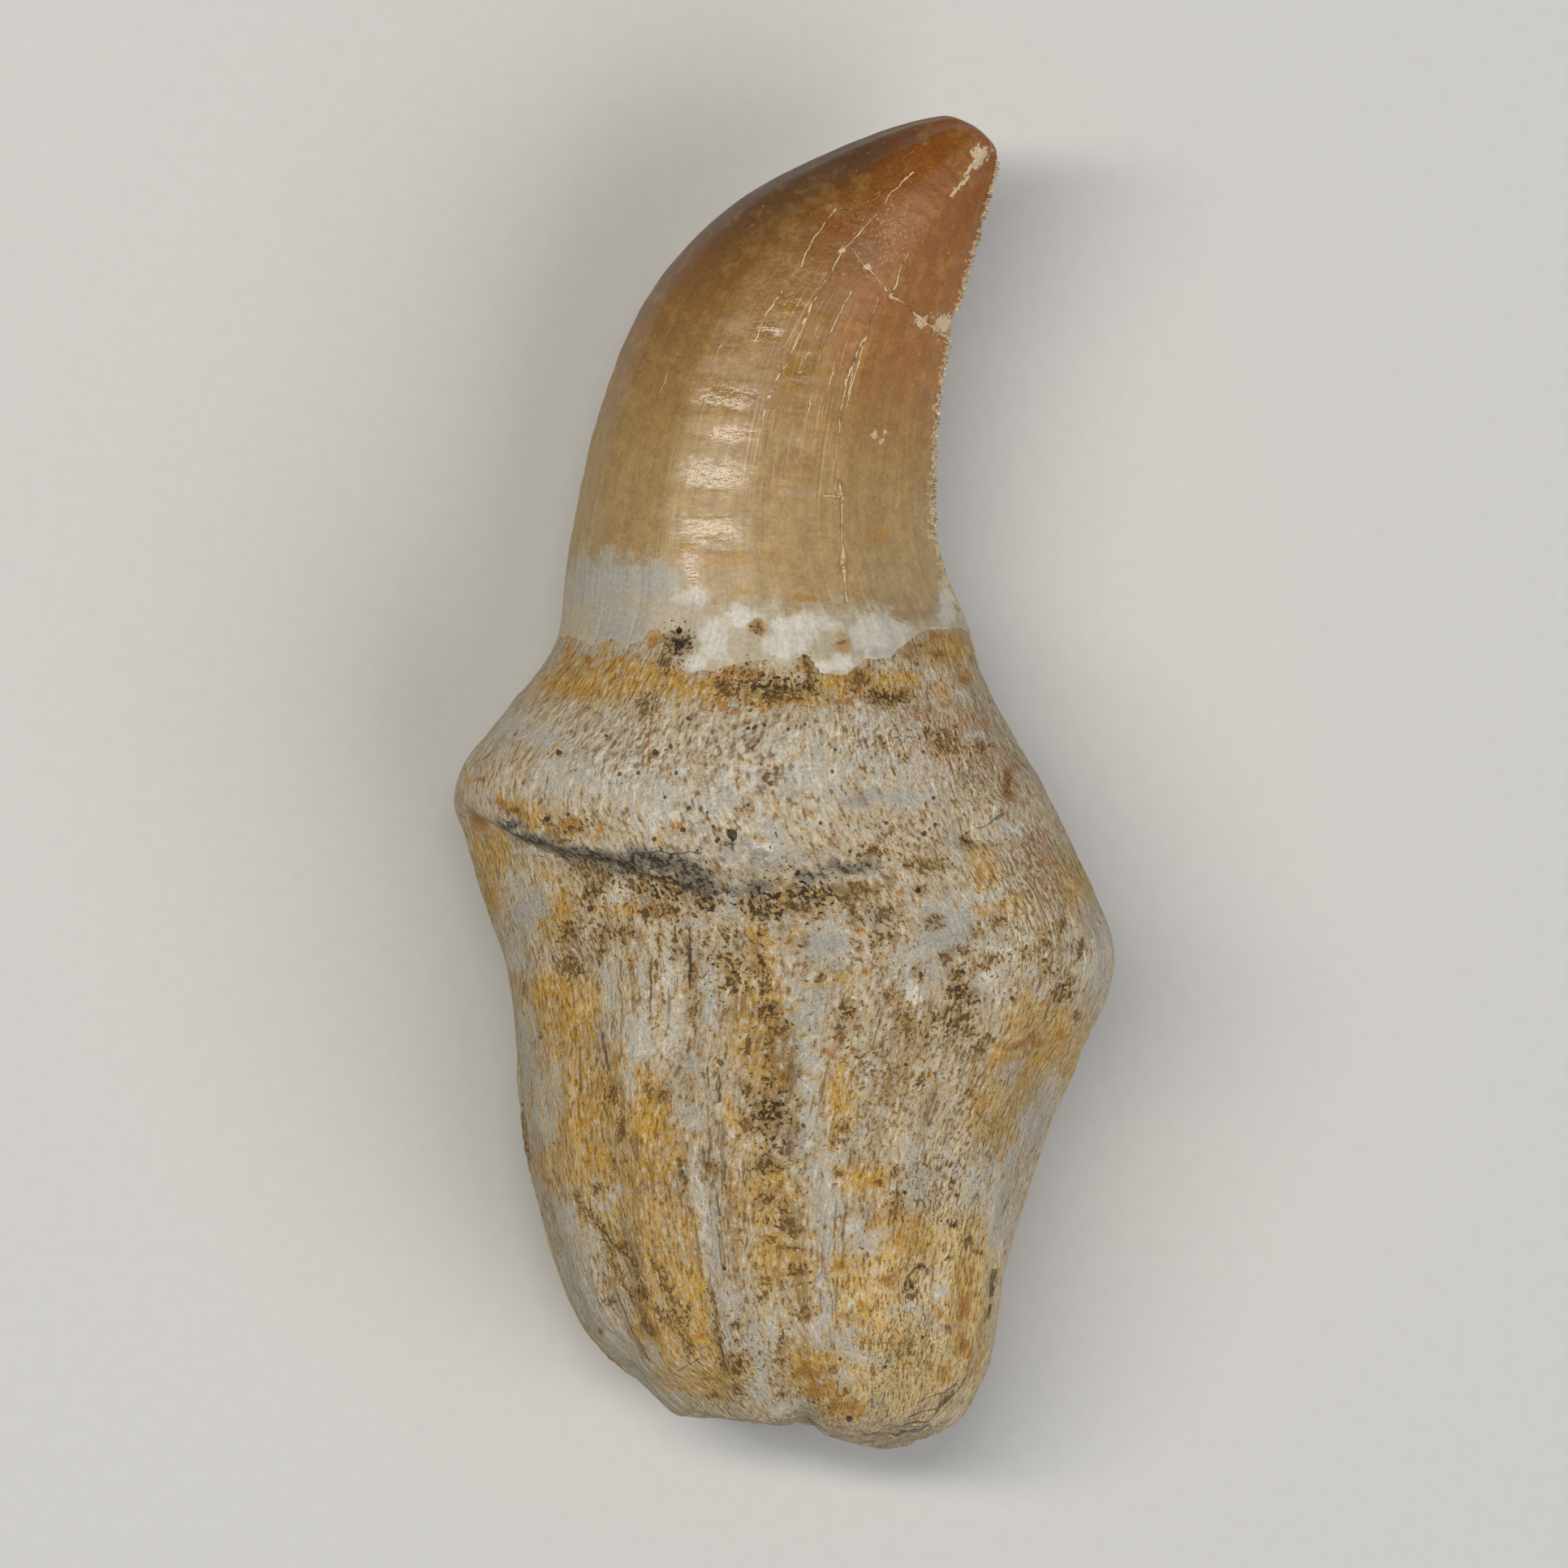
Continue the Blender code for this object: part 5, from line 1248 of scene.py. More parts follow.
def bead():
    """A unit sphere: rings at even angles between two poles, and its faces."""
    tilt = np.pi * (np.arange(BEAD_RINGS) + 1) / (BEAD_RINGS + 1)
    turn = 2 * np.pi * np.arange(BEAD_SIDES) / BEAD_SIDES
    ring = np.stack([
        np.sin(tilt)[:, None] * np.cos(turn)[None],
        np.sin(tilt)[:, None] * np.sin(turn)[None],
        np.cos(tilt)[:, None] * np.ones(BEAD_SIDES)[None],
    ], axis=-1)
    return with_ends(ring, [0.0, 0.0, 1.0], [0.0, 0.0, -1.0]), grid_faces(BEAD_RINGS, BEAD_SIDES)


def keel_frames():
    """Even places along the keel but for its notch, and its directions: along, out and across."""
    line = enamel_points[:, 0]
    line = line[(line[:, 1] < DENTICLES_TOP_Y) & (line[:, 1] > DENTICLES_BOTTOM_Y)]
    steps = np.linalg.norm(np.diff(line, axis=0), axis=1)
    travel = np.concatenate([[0.0], np.cumsum(steps)])
    at = np.arange(0, travel[-1], DENTICLE_PITCH)
    at = at[np.abs(np.interp(at, travel, line[:, 1]) - NOTCH_Y) > NOTCH_HALF_LENGTH]
    places = np.stack([np.interp(at, travel, line[:, axis]) for axis in range(3)], axis=-1)
    along = np.gradient(places, axis=0)
    along /= np.linalg.norm(along, axis=1, keepdims=True)
    out = np.stack([-along[:, 1], along[:, 0], np.zeros(len(along))], axis=-1)
    out *= np.sign(out[:, :1])
    out /= np.linalg.norm(out, axis=1, keepdims=True)
    return places, along, out, np.cross(along, out)


def denticle_mesh():
    """Every bead as place + along·a + out·b + across·c, with its size varied by a fixed noise."""
    places, along, out, across = keel_frames()
    unit, faces = bead()
    noise = lattice_noise(places, **DENTICLE_NOISE)
    wear = DENTICLE_WEAR + DENTICLE_UNEVENNESS * noise[:, None, None]
    shape = unit[None] * np.array(DENTICLE_RADII)[None, None] * wear
    points = places[:, None] + sum(
        shape[..., axis : axis + 1] * direction[:, None]
        for axis, direction in enumerate((along, out, across))
    )
    every_face = [
        [corner + number * len(unit) for corner in face]
        for number in range(len(places))
        for face in faces
    ]
    return points.reshape(-1, 3), every_face


denticle_points, denticle_faces = denticle_mesh()
print("denticles:", len(denticle_points) // (BEAD_SIDES * BEAD_RINGS + 2))

# %% [markdown]
# At home in the solid's box.
# The drawing is in millimetres about its own middle. Its skins are moved and scaled together so that
# what shows of them fills the solid's box exactly, and the floor cuts them flat where they lie on it.

# %% Fit the skins to the solid's box
def fit_to_box():
    """The low corner and the scale that take the drawing's box to the solid's box, floor at zero."""
    seen = np.vstack([bone_points.reshape(-1, 3), enamel_points.reshape(-1, 3)])
    seen[:, 2] = np.maximum(seen[:, 2], 0.0)
    low, high = seen.min(axis=0), seen.max(axis=0)
    return low, (np.array(cad_high) - np.array(cad_low)) / (high - low)


drawn_low, drawn_scale = fit_to_box()


def placed(points):
    """Drawing to frame: cut at the floor, then moved and scaled."""
    points = np.array(points, float)
    points[..., 2] = np.maximum(points[..., 2], 0.0)
    return (points - drawn_low) * drawn_scale + np.array(cad_low)


root_end = [*STATIONS[-1][0], STATIONS[-1][2]]
tip = [*STATIONS[0][0], STATIONS[0][2]]
bone = grid_object("root_bone", placed(bone_points), placed(bone_points[0].mean(axis=0)),
                   placed(root_end), bone_values)
enamel = grid_object("crown_enamel", placed(enamel_points), placed(tip),
                     placed(enamel_points[-1].mean(axis=0)), enamel_values)
denticles = mesh_object("crown_denticles", placed(denticle_points), denticle_faces)
print("scale per drawn millimetre:", (MM_PER_METRE * drawn_scale).round(4))

# %% [markdown]
# Nodes from a short hand.
# A material is a network of small steps. One function that adds a node, sets it and links it keeps
# each step on one line. Colours are written as screen colours and turned linear once.

# %% Add a node, turn a colour linear
def add_node(tree, kind, inputs=None, **settings):
    """Adds a node; an input is a value, or another node's output to link."""
    node = tree.nodes.new(kind)
    for name, value in settings.items():
        setattr(node, name, value)
    for name, value in (inputs or {}).items():
        if isinstance(value, bpy.types.NodeSocket):
            tree.links.new(value, node.inputs[name])
        else:
            node.inputs[name].default_value = value
    return node


def linear(colour):
    """A hex screen colour in linear light: c / 12.92 if dark, or else ((c + 0.055) / 1.055) to the 2.4."""
    parts = [int(colour[start : start + 2], 16) / 255 for start in (1, 3, 5)]
    return [c / 12.92 if c <= 0.04045 else ((c + 0.055) / 1.055) ** 2.4 for c in parts] + [1.0]


print("mid grey is", round(linear("#808080")[0], 3), "in linear light")

# %% [markdown]
# What both finishes share.
# Each finish is a stack of stains and painted light and shade, and every one is a mark on the mesh whose edge
# noise has frayed.
# Where the noise is stretched along the fibres, a stain frays into streaks, as it does on real bone.
# So a finish here is three tables: its noises, how each mark is frayed, and the colours to lay on.

# %% Start a material, and spread its noises
# A noise less the same noise read aside paints light on one edge and shade on the other.
ASIDE = (0.09, -0.06, 0.10)  # in mm: a noise less the same noise read aside shades its edges
NOISE_ROUGHNESS = 0.62
NOISE_SPREAD = (0.3, 0.7)  # Blender's noise seldom leaves this range


def start_material(name, mark_names):
    """A material, its tree and shader, the mesh's marks, and the ways to place a noise, in mm."""
    material = bpy.data.materials.new(name)
    material.use_nodes = True
    tree = material.node_tree
    marks = {
        mark: add_node(tree, "ShaderNodeAttribute", attribute_name=mark).outputs for mark in mark_names
    }
    metres = add_node(tree, "ShaderNodeTexCoord").outputs["Object"]
    place = add_node(tree, "ShaderNodeVectorMath", {0: metres, "Scale": MM_PER_METRE},
                     operation="SCALE")
    ways = {"place": place.outputs[0], "flow": marks["flow"]["Vector"]}
    for way in ("place", "flow"):
        aside = add_node(tree, "ShaderNodeVectorMath", {0: ways[way], 1: ASIDE}, operation="ADD")
        ways[way + " aside"] = aside.outputs[0]
    return material, tree, tree.nodes["Principled BSDF"], marks, ways


def noise_fields(tree, ways, table):
    """Noises by name from rows of (way, cells per mm along each axis, detail), spread to fill 0 to 1."""
    fields = {}
    for name, (way, fineness, detail) in table.items():
        scaled = add_node(tree, "ShaderNodeVectorMath", {0: ways[way], 1: fineness}, operation="MULTIPLY")
        noise = add_node(tree, "ShaderNodeTexNoise", {"Vector": scaled.outputs[0], "Scale": 1.0,
                                                      "Detail": detail, "Roughness": NOISE_ROUGHNESS})
        spread = add_node(tree, "ShaderNodeMapRange", {"Value": noise.outputs["Fac"],
                                                       "From Min": NOISE_SPREAD[0],
                                                       "From Max": NOISE_SPREAD[1]})
        fields[name] = spread.outputs[0]
    return fields


print("a noise read aside is read", round(float(np.linalg.norm(ASIDE)), 2), "mm away")


# %% Fray a mark, lay colours, weigh sums, draw lines
BUMP_DISTANCE = 0.001  # in metres: a height of 1 is a millimetre


def frayed(tree, sources, table):
    """Masks by name from rows of (source, its gain, noise, its gain, where it starts, where it fills).

    The source and the noise are each multiplied by their gain and added, and the sum is eased from 0
    at the start to 1 where it fills. A mask made earlier can be a source.
    """
    for name, (source, gain, noise, noise_gain, low, high) in table.items():
        lifted = add_node(tree, "ShaderNodeMath", {0: sources[source], 1: gain}, operation="MULTIPLY")
        total = add_node(tree, "ShaderNodeMath", {0: sources[noise], 1: noise_gain, 2: lifted.outputs[0]},
                         operation="MULTIPLY_ADD")
        mask = add_node(tree, "ShaderNodeMapRange", {"Value": total.outputs[0], "From Min": low,
                                                     "From Max": high},
                        interpolation_type="SMOOTHSTEP")
        sources[name] = mask.outputs[0]


def layered(tree, sources, ground, layers):
    """Lays each colour of the rows (mask, strength, hex colour) over the last, by mask times strength."""
    colour = ground
    for mask, strength, tone in layers:
        share = add_node(tree, "ShaderNodeMath", {0: sources[mask], 1: strength}, operation="MULTIPLY")
        mixed = add_node(tree, "ShaderNodeMix", {0: share.outputs[0], 6: colour, 7: linear(tone)},
                         data_type="RGBA")
        colour = mixed.outputs[2]
    return colour


def weighed(tree, sources, start, rows):
    """The start value plus each source times its weight, from rows of (source, weight)."""
    total = start
    for source, weight in rows:
        step = add_node(tree, "ShaderNodeMath", {0: sources[source], 1: weight, 2: total},
                        operation="MULTIPLY_ADD")
        total = step.outputs[0]
    return total


def surfaced(tree, shader, sources, colour, darkest, lightness, depths):
    """The colour times its weighed lightness, and a bump of the weighed heights, on the shader."""
    tone = weighed(tree, sources, darkest, lightness)
    toned = add_node(tree, "ShaderNodeVectorMath", {0: colour, "Scale": tone}, operation="SCALE")
    height = weighed(tree, sources, 0.0, depths)
    bump = add_node(tree, "ShaderNodeBump", {"Height": height, "Distance": BUMP_DISTANCE})
    tree.links.new(toned.outputs[0], shader.inputs["Base Color"])
    tree.links.new(bump.outputs[0], shader.inputs["Normal"])


def drawn_lines(tree, marks, table):
    """Masks by name from rows of (mark, reach where it is 0, reach where it is 1), all in half-widths."""
    masks = {}
    for name, (mark, outer, inner) in table.items():
        reach = add_node(tree, "ShaderNodeVectorMath", {0: marks[mark]["Vector"]}, operation="LENGTH")
        inside = add_node(tree, "ShaderNodeMapRange", {"Value": reach.outputs["Value"], "From Min": outer,
                                                       "From Max": inner},
                          interpolation_type="SMOOTHSTEP")
        masks[name] = inside.outputs[0]
    return masks


helpers = (frayed, layered, weighed, surfaced, drawn_lines)
print("helpers:", ", ".join(helper.__name__ for helper in helpers))

# %% [markdown]
# Weathered bone.
# Fossil bone from phosphate sand is mineral all through: dry, matt and finely pitted. It is tan where clean,
# ochre where iron stained it, cool grey where it bleached, and brown to black where crumbs of the sand still
# sit in its hollows. Short fibres catch the light on the collar, and long ones streak the root. Some of the
# light and shade is painted into the colour: the lit and shaded edges of fibres and grains, darker hollows,
# shade in the crevice under the ledge and in the pores, highlights on a knob and on a slope, golden rims
# round the crumbs, and light on the root's turned-down end.

# %% The bone's tables
BONE_GROUND = "#A89A80"
# How each noise is placed, its cells per mm along its three axes, and its detail.
BONE_NOISES = {
    "blotch": ("flow", (0.30, 0.30, 0.16), 4.0),  # 3 mm by 6 mm clouds
    "patch": ("flow", (1.3, 1.3, 0.6), 5.0),  # 1 mm by 2 mm, frays the stains
    "cloud": ("place", (0.6, 0.6, 0.5), 4.0),
    "mottle": ("flow", (2.4, 2.4, 1.5), 4.0),  # under half a millimetre
    "band": ("flow", (1.1, 1.1, 0.07), 4.0),  # flutes down the root, 1 mm wide
    "streak": ("flow", (2.8, 2.8, 0.18), 3.0),  # strokes down the root
    "fibre": ("flow", (3.4, 3.4, 1.2), 1.0),  # short fibres, 0.3 mm by 0.9 mm
    "fibre aside": ("flow aside", (3.4, 3.4, 1.2), 1.0),
    "grit": ("flow", (4.8, 4.8, 1.5), 3.0),  # strokes of 0.2 mm by 0.7 mm
    "grain": ("place", (6.0, 6.0, 6.0), 3.0),
    "grain aside": ("place aside", (6.0, 6.0, 6.0), 3.0),
    "crumb": ("flow", (4.8, 4.8, 2.8), 4.0),
}
# Each mask: its source and gain, its noise and gain, and the sums where it starts and where it fills.
BONE_FRAYED = {
    # A fibre less the fibre read aside: painted light on one edge of it, painted shade on the other.
    "fibre edge": ("fibre", 1.0, "fibre aside", -1.0, -0.45, 0.45),
    "ochre clouds": ("ground", 0.9, "blotch", 0.6, 0.5, 1.0),
    "cream clouds": ("cloud", 0.55, "patch", 0.55, 0.6, 0.95),
    "gold stain": ("gold", 0.8, "patch", 0.9, 0.78, 1.2),
    "rust stain": ("rust", 0.9, "mottle", 0.8, 0.80, 1.25),
    "pink stain": ("pink", 0.9, "patch", 0.6, 0.55, 1.0),
    "grey mineral": ("grey", 0.8, "patch", 1.0, 0.8, 1.2),
    "bright mineral and highlights": ("white", 0.7, "mottle", 1.1, 0.95, 1.35),
    "brown ground": ("brown", 0.8, "patch", 0.9, 0.72, 1.2),
    "olive stain and shade": ("olive", 0.8, "patch", 0.9, 0.85, 1.3),
    "shaded": ("shade", 0.9, "mottle", 0.8, 0.6, 1.15),
    "cream painted light": ("cream", 0.9, "patch", 0.6, 0.5, 1.0),
    "slate shade": ("slate", 0.9, "patch", 0.7, 0.6, 1.15),
    "warm grit": ("grey mineral", -0.28, "grit", 1.0, 0.50, 0.68),
    "deep grit": ("grey mineral", -0.20, "grit", 1.0, 0.74, 0.90),
    "pale grit": ("grain", -0.4, "grit", -1.0, -0.58, -0.36),
    "golden flecks": ("ground", 0.2, "mottle", 1.0, 0.64, 0.90),
    "grey flecks": ("grey", 0.2, "mottle", -1.0, -0.34, -0.08),
    "dark bands": ("lined", 0.4, "band", 0.9, 0.80, 1.06),
    "pale bands": ("lined", 0.4, "band", -0.9, 0.12, 0.38),
    "dark strokes": ("lined", 0.4, "streak", 0.9, 0.96, 1.14),
    "pale strokes": ("lined", 0.4, "streak", -0.9, 0.18, 0.36),
    # Painted light and shade on the edges of short fibres:
    "lit fibre ticks": ("ticked", 0.4, "fibre edge", 0.9, 0.92, 1.14),
    "shaded fibre ticks": ("ticked", 0.4, "fibre edge", -0.9, 0.16, 0.36),
    # Golden rims round the crumbs, painted as the light caught by the edges of their pits:
    "lit strewn rims": ("speckled", 0.3, "crumb", 0.9, 0.72, 0.84),
    "strewn crumbs": ("speckled", 0.3, "crumb", 0.9, 0.88, 0.98),
    "lit crumb rims": ("brown", 0.55, "crumb", 0.9, 0.66, 0.82),
    "brown crumbs": ("brown", 0.55, "crumb", 0.9, 0.88, 1.02),
    "black crumbs": ("black", 0.55, "crumb", 0.9, 0.98, 1.10),
    "shaded creases": ("shade", 0.55, "crumb", 0.9, 0.88, 1.02),
}
# Pores and fine lines: the mark, and the half-widths at which the mask is 0 and 1; then frayed.
BONE_DRAWN = {
    "pore core": ("pore", 1.7, 0.5),
    "line core": ("line", 1.3, 0.6),
}
BONE_DRAWN_FRAYED = {
    "hole": ("pore core", 1.0, "grain", 0.4, 0.75, 1.0),
    "dark line": ("line core", 0.8, "crumb", 0.7, 0.85, 1.1),
}
# Each colour is laid over those before it, by its mask times its strength.
BONE_LAYERS = [
    ("ochre clouds", 0.78, "#AD893D"),
    ("cream clouds", 0.5, "#B4AA93"),
    # Painted light on the root's turned-down end:
    ("cream painted light", 0.7, "#D2B67C"),
    ("gold stain", 0.85, "#B08424"),
    ("pink stain", 0.6, "#98694A"),
    ("dark bands", 0.55, "#82642F"),
    ("pale bands", 0.55, "#BBB2A0"),
    ("grey mineral", 0.75, "#A7A193"),
    # Pale mineral, and painted highlights on the hooked knob and a lit slope:
    ("bright mineral and highlights", 0.65, "#CBC6BB"),
    ("golden flecks", 0.45, "#A6812E"),
    ("grey flecks", 0.40, "#B3B0A8"),
    ("brown ground", 0.55, "#80602A"),
    # Olive stain, and painted shade under the ledge:
    ("olive stain and shade", 0.6, "#655C40"),
    ("pale grit", 0.50, "#D0C9B8"),
    ("rust stain", 0.75, "#8E5A14"),
    ("warm grit", 0.5, "#8F6426"),
    ("deep grit", 0.58, "#603F12"),
    # Painted shade in smooth hollows:
    ("slate shade", 0.5, "#8E8C86"),
    ("pale strokes", 0.6, "#C9C0AE"),
    ("dark strokes", 0.65, "#5C431C"),
    # Painted light and shade on fibre edges:
    ("lit fibre ticks", 0.42, "#CFC6B4"),
    ("shaded fibre ticks", 0.58, "#5C4526"),
    # Painted light on the rims of the crumbs' pits:
    ("lit strewn rims", 0.4, "#B29253"),
    ("lit crumb rims", 0.5, "#A5803E"),
    ("strewn crumbs", 0.65, "#5A4019"),
    ("brown crumbs", 0.75, "#583D18"),
    # Painted shade in the crevice under the ledge, then darker in its creases:
    ("shaded", 0.7, "#5E5A4E"),
    ("shaded creases", 0.8, "#2C2616"),
    ("black crumbs", 0.7, "#2C2110"),
    ("dark line", 0.65, "#3A2D18"),
    # The pores' near-black fill: sand, and painted shade in the hole:
    ("hole", 0.85, "#241A0D"),
]
# The finish is made lighter or darker by the darkest value and these sources' shares. The relief's share
# darkens hollows as painted shade, and grain less grain aside paints light and shade on the grains' edges.
BONE_DARKEST = 0.58
BONE_LIGHTNESS = [("fibre", 0.14), ("grain", 0.56), ("grain aside", -0.20), ("mottle", 0.34),
                  ("streak", 0.18), ("relief", 0.18)]
# Heights of the bump, in millimetres.
BONE_DEPTH = [("fibre", 0.06), ("grain", 0.04), ("mottle", 0.07), ("pale grit", 0.03), ("deep grit", -0.05),
              ("strewn crumbs", -0.08), ("brown crumbs", -0.10), ("black crumbs", -0.10),
              ("dark line", -0.10), ("hole", -0.25)]
BONE_ROUGHNESS = 0.8
print("bone:", len(BONE_NOISES), "noises,", len(BONE_FRAYED), "masks and", len(BONE_LAYERS), "layers")


# %% Bone material
def bone_material():
    """Matt, pitted bone: stains and painted light and shade over a tan ground, lightened and darkened by
    fibre, grain and relief.
    """
    names = ("flow", "relief", "line", "pore", *(row[0] for row in BONE_MARKS))
    material, tree, shader, marks, ways = start_material("weathered fossil bone", names)
    sources = {name: marks[name]["Fac"] for name in names}
    sources.update(noise_fields(tree, ways, BONE_NOISES))
    frayed(tree, sources, BONE_FRAYED)
    sources.update(drawn_lines(tree, marks, BONE_DRAWN))
    frayed(tree, sources, BONE_DRAWN_FRAYED)
    colour = layered(tree, sources, linear(BONE_GROUND), BONE_LAYERS)
    surfaced(tree, shader, sources, colour, BONE_DARKEST, BONE_LIGHTNESS, BONE_DEPTH)
    shader.inputs["Roughness"].default_value = BONE_ROUGHNESS
    return material


bone.data.materials.append(bone_material())
print("bone material has", len(bone.data.materials[0].node_tree.nodes), "nodes")

# %% [markdown]
# Worn enamel.
# Enamel is a hard, slightly see-through glaze. Here it is satin, not glossy: stained orange-brown at the tip
# and paler towards the bone, crossed by pale filled cracks, worn pale on its cutting edge, and leached to a
# chalky white band at its lower edge. Painted shade darkens its convex flank towards the edge and runs along
# the cracks' margins. A few places have kept their polish. A clear coat over everything would look wet, so
# those places just get a lower roughness, and the light breaks into a row of highlights there.

# %% The enamel's tables
# Shares of the way down the crown, and the colour there.
ENAMEL_TONES = [(0.0, "#8A480A"), (0.14, "#804608"), (0.3, "#7C4A11"), (0.5, "#91682F"),
                (0.75, "#A08352"), (1.0, "#A89068")]
ENAMEL_NOISES = {
    "blotch": ("place", (0.22, 0.22, 0.22), 5.0),
    "ragged": ("place", (0.9, 0.9, 0.9), 3.0),
    "stroke": ("flow", (1.9, 1.9, 0.10), 4.0),  # growth strokes along the crown
    "hair": ("flow", (4.5, 4.5, 0.16), 1.0),  # pale and dark hairs, 0.2 mm by 6 mm
    "ring": ("flow", (0.10, 0.10, 0.55), 2.0),  # growth rings across it
    "worn": ("flow", (0.35, 0.35, 0.75), 4.0),  # broad shallow wear, wider than tall
    "scuff": ("flow", (1.5, 1.5, 3.4), 3.0),  # flecks that fray the polished places
    "grain": ("place", (3.2, 3.2, 3.2), 1.0),
    "dust": ("place", (8.0, 8.0, 8.0), 1.0),
    "crumb": ("place", (3.1, 3.1, 2.9), 4.0),
    "serration": ("flow", (0.5, 0.5, 2.6), 2.0),  # the denticles' feet, 0.4 mm apart along the keel
}
ENAMEL_FRAYED = {
    "flank shade": ("flank", 1.0, "blotch", 0.25, 0.1, 1.1),
    "red flank": ("red", 1.0, "blotch", 0.7, 0.45, 1.2),
    "golden stain": ("gold", 0.9, "ragged", 0.8, 0.78, 1.15),
    "golden dust": ("ragged", 0.8, "blotch", 0.6, 0.65, 1.15),
    "dark dust": ("ragged", -0.8, "blotch", 0.5, -0.35, 0.15),
    "polished": ("polish", 1.0, "scuff", 0.5, 0.58, 1.20),
    "chalk": ("chalk", 0.6, "ragged", 1.0, 0.1, 1.1),
    "white chalk": ("white", 1.0, "ragged", 0.6, 0.6, 1.1),
    "cool chalk": ("cool", 1.0, "ragged", 0.5, 0.4, 1.1),
    "chipped": ("chip", 1.0, "crumb", 1.0, 0.88, 1.14),
    "worn keel": ("keel", 0.9, "serration", 0.9, 0.96, 1.44),
    "dark keel": ("keel", 0.8, "serration", -0.9, 0.32, 0.62),
    "brown ground": ("brown", 0.9, "ragged", 0.6, 0.7, 1.1),
    "brown crumbs": ("brown", 0.6, "crumb", 0.9, 0.94, 1.06),
    "black crumbs": ("black", 0.6, "crumb", 0.9, 1.0, 1.12),
    "hairs": ("haired", 0.45, "hair", 1.0, 1.08, 1.35),
    "dark hairs": ("haired", 0.45, "hair", -1.0, 0.12, 0.32),
}
ENAMEL_DRAWN = {
    "hole": ("pore", 1.25, 0.75),
    "line": ("crack", 1.2, 0.6),
    "edge": ("crack", 4.0, 1.6),
}
ENAMEL_DRAWN_FRAYED = {
    "crack run": ("line", 1.0, "ragged", 0.9, 1.1, 1.4),
    "crack line": ("crack run", 0.8, "crumb", 0.8, 0.75, 1.2),
    "crack shadow": ("edge", 0.8, "hair", 0.8, 0.9, 1.5),
}
ENAMEL_LAYERS = [
    ("red flank", 0.6, "#9C6030"),
    # Painted shade, with the enamel's own olive-brown, on the convex flank:
    ("flank shade", 0.9, "#422602"),
    ("golden dust", 0.26, "#B08A4A"),
    ("dark dust", 0.24, "#744D1C"),
    ("dark hairs", 0.35, "#6B4822"),
    ("hairs", 0.35, "#C4A676"),
    ("chalk", 0.75, "#B3A993"),
    ("white chalk", 0.65, "#CFCBC0"),
    ("cool chalk", 0.65, "#9D9D97"),
    ("golden stain", 0.75, "#A37932"),
    ("chipped", 0.78, "#CFBD9A"),
    ("worn keel", 0.75, "#C9B694"),
    ("dark keel", 0.45, "#5E4626"),
    ("brown ground", 0.7, "#84673A"),
    ("brown crumbs", 0.85, "#523A18"),
    ("black crumbs", 0.9, "#1E180E"),
    # Painted shadow along the cracks' margins:
    ("crack shadow", 0.45, "#553414"),
    ("crack line", 0.75, "#D8C198"),
    # The pores' near-black fill: sand, and painted shade in the hole:
    ("hole", 1.0, "#120D08"),
]
ENAMEL_DARKEST = 0.62
ENAMEL_LIGHTNESS = [("stroke", 0.22), ("hair", 0.12), ("grain", 0.20), ("ring", 0.08), ("dust", 0.16)]
ENAMEL_DEPTH = [("grain", 0.005), ("scuff", 0.007), ("stroke", 0.010), ("ring", 0.05), ("worn", 0.02),
                ("hair", 0.003), ("brown crumbs", -0.06), ("black crumbs", -0.06), ("crack line", -0.02),
                ("hole", -0.2)]
ENAMEL_ROUGHNESS = 0.38
ENAMEL_POLISH = [("polished", -0.25), ("dust", 0.04)]  # what its roughness gains or loses
ENAMEL_SHINE = 0.42
CHALK_ROUGHNESS = 0.7
DRIFT_GAIN, DRIFT_START = 0.16, -0.08  # clouds shift the colours by this share of the crown
print("enamel:", len(ENAMEL_NOISES), "noises,", len(ENAMEL_FRAYED), "masks and", len(ENAMEL_LAYERS),
      "layers")


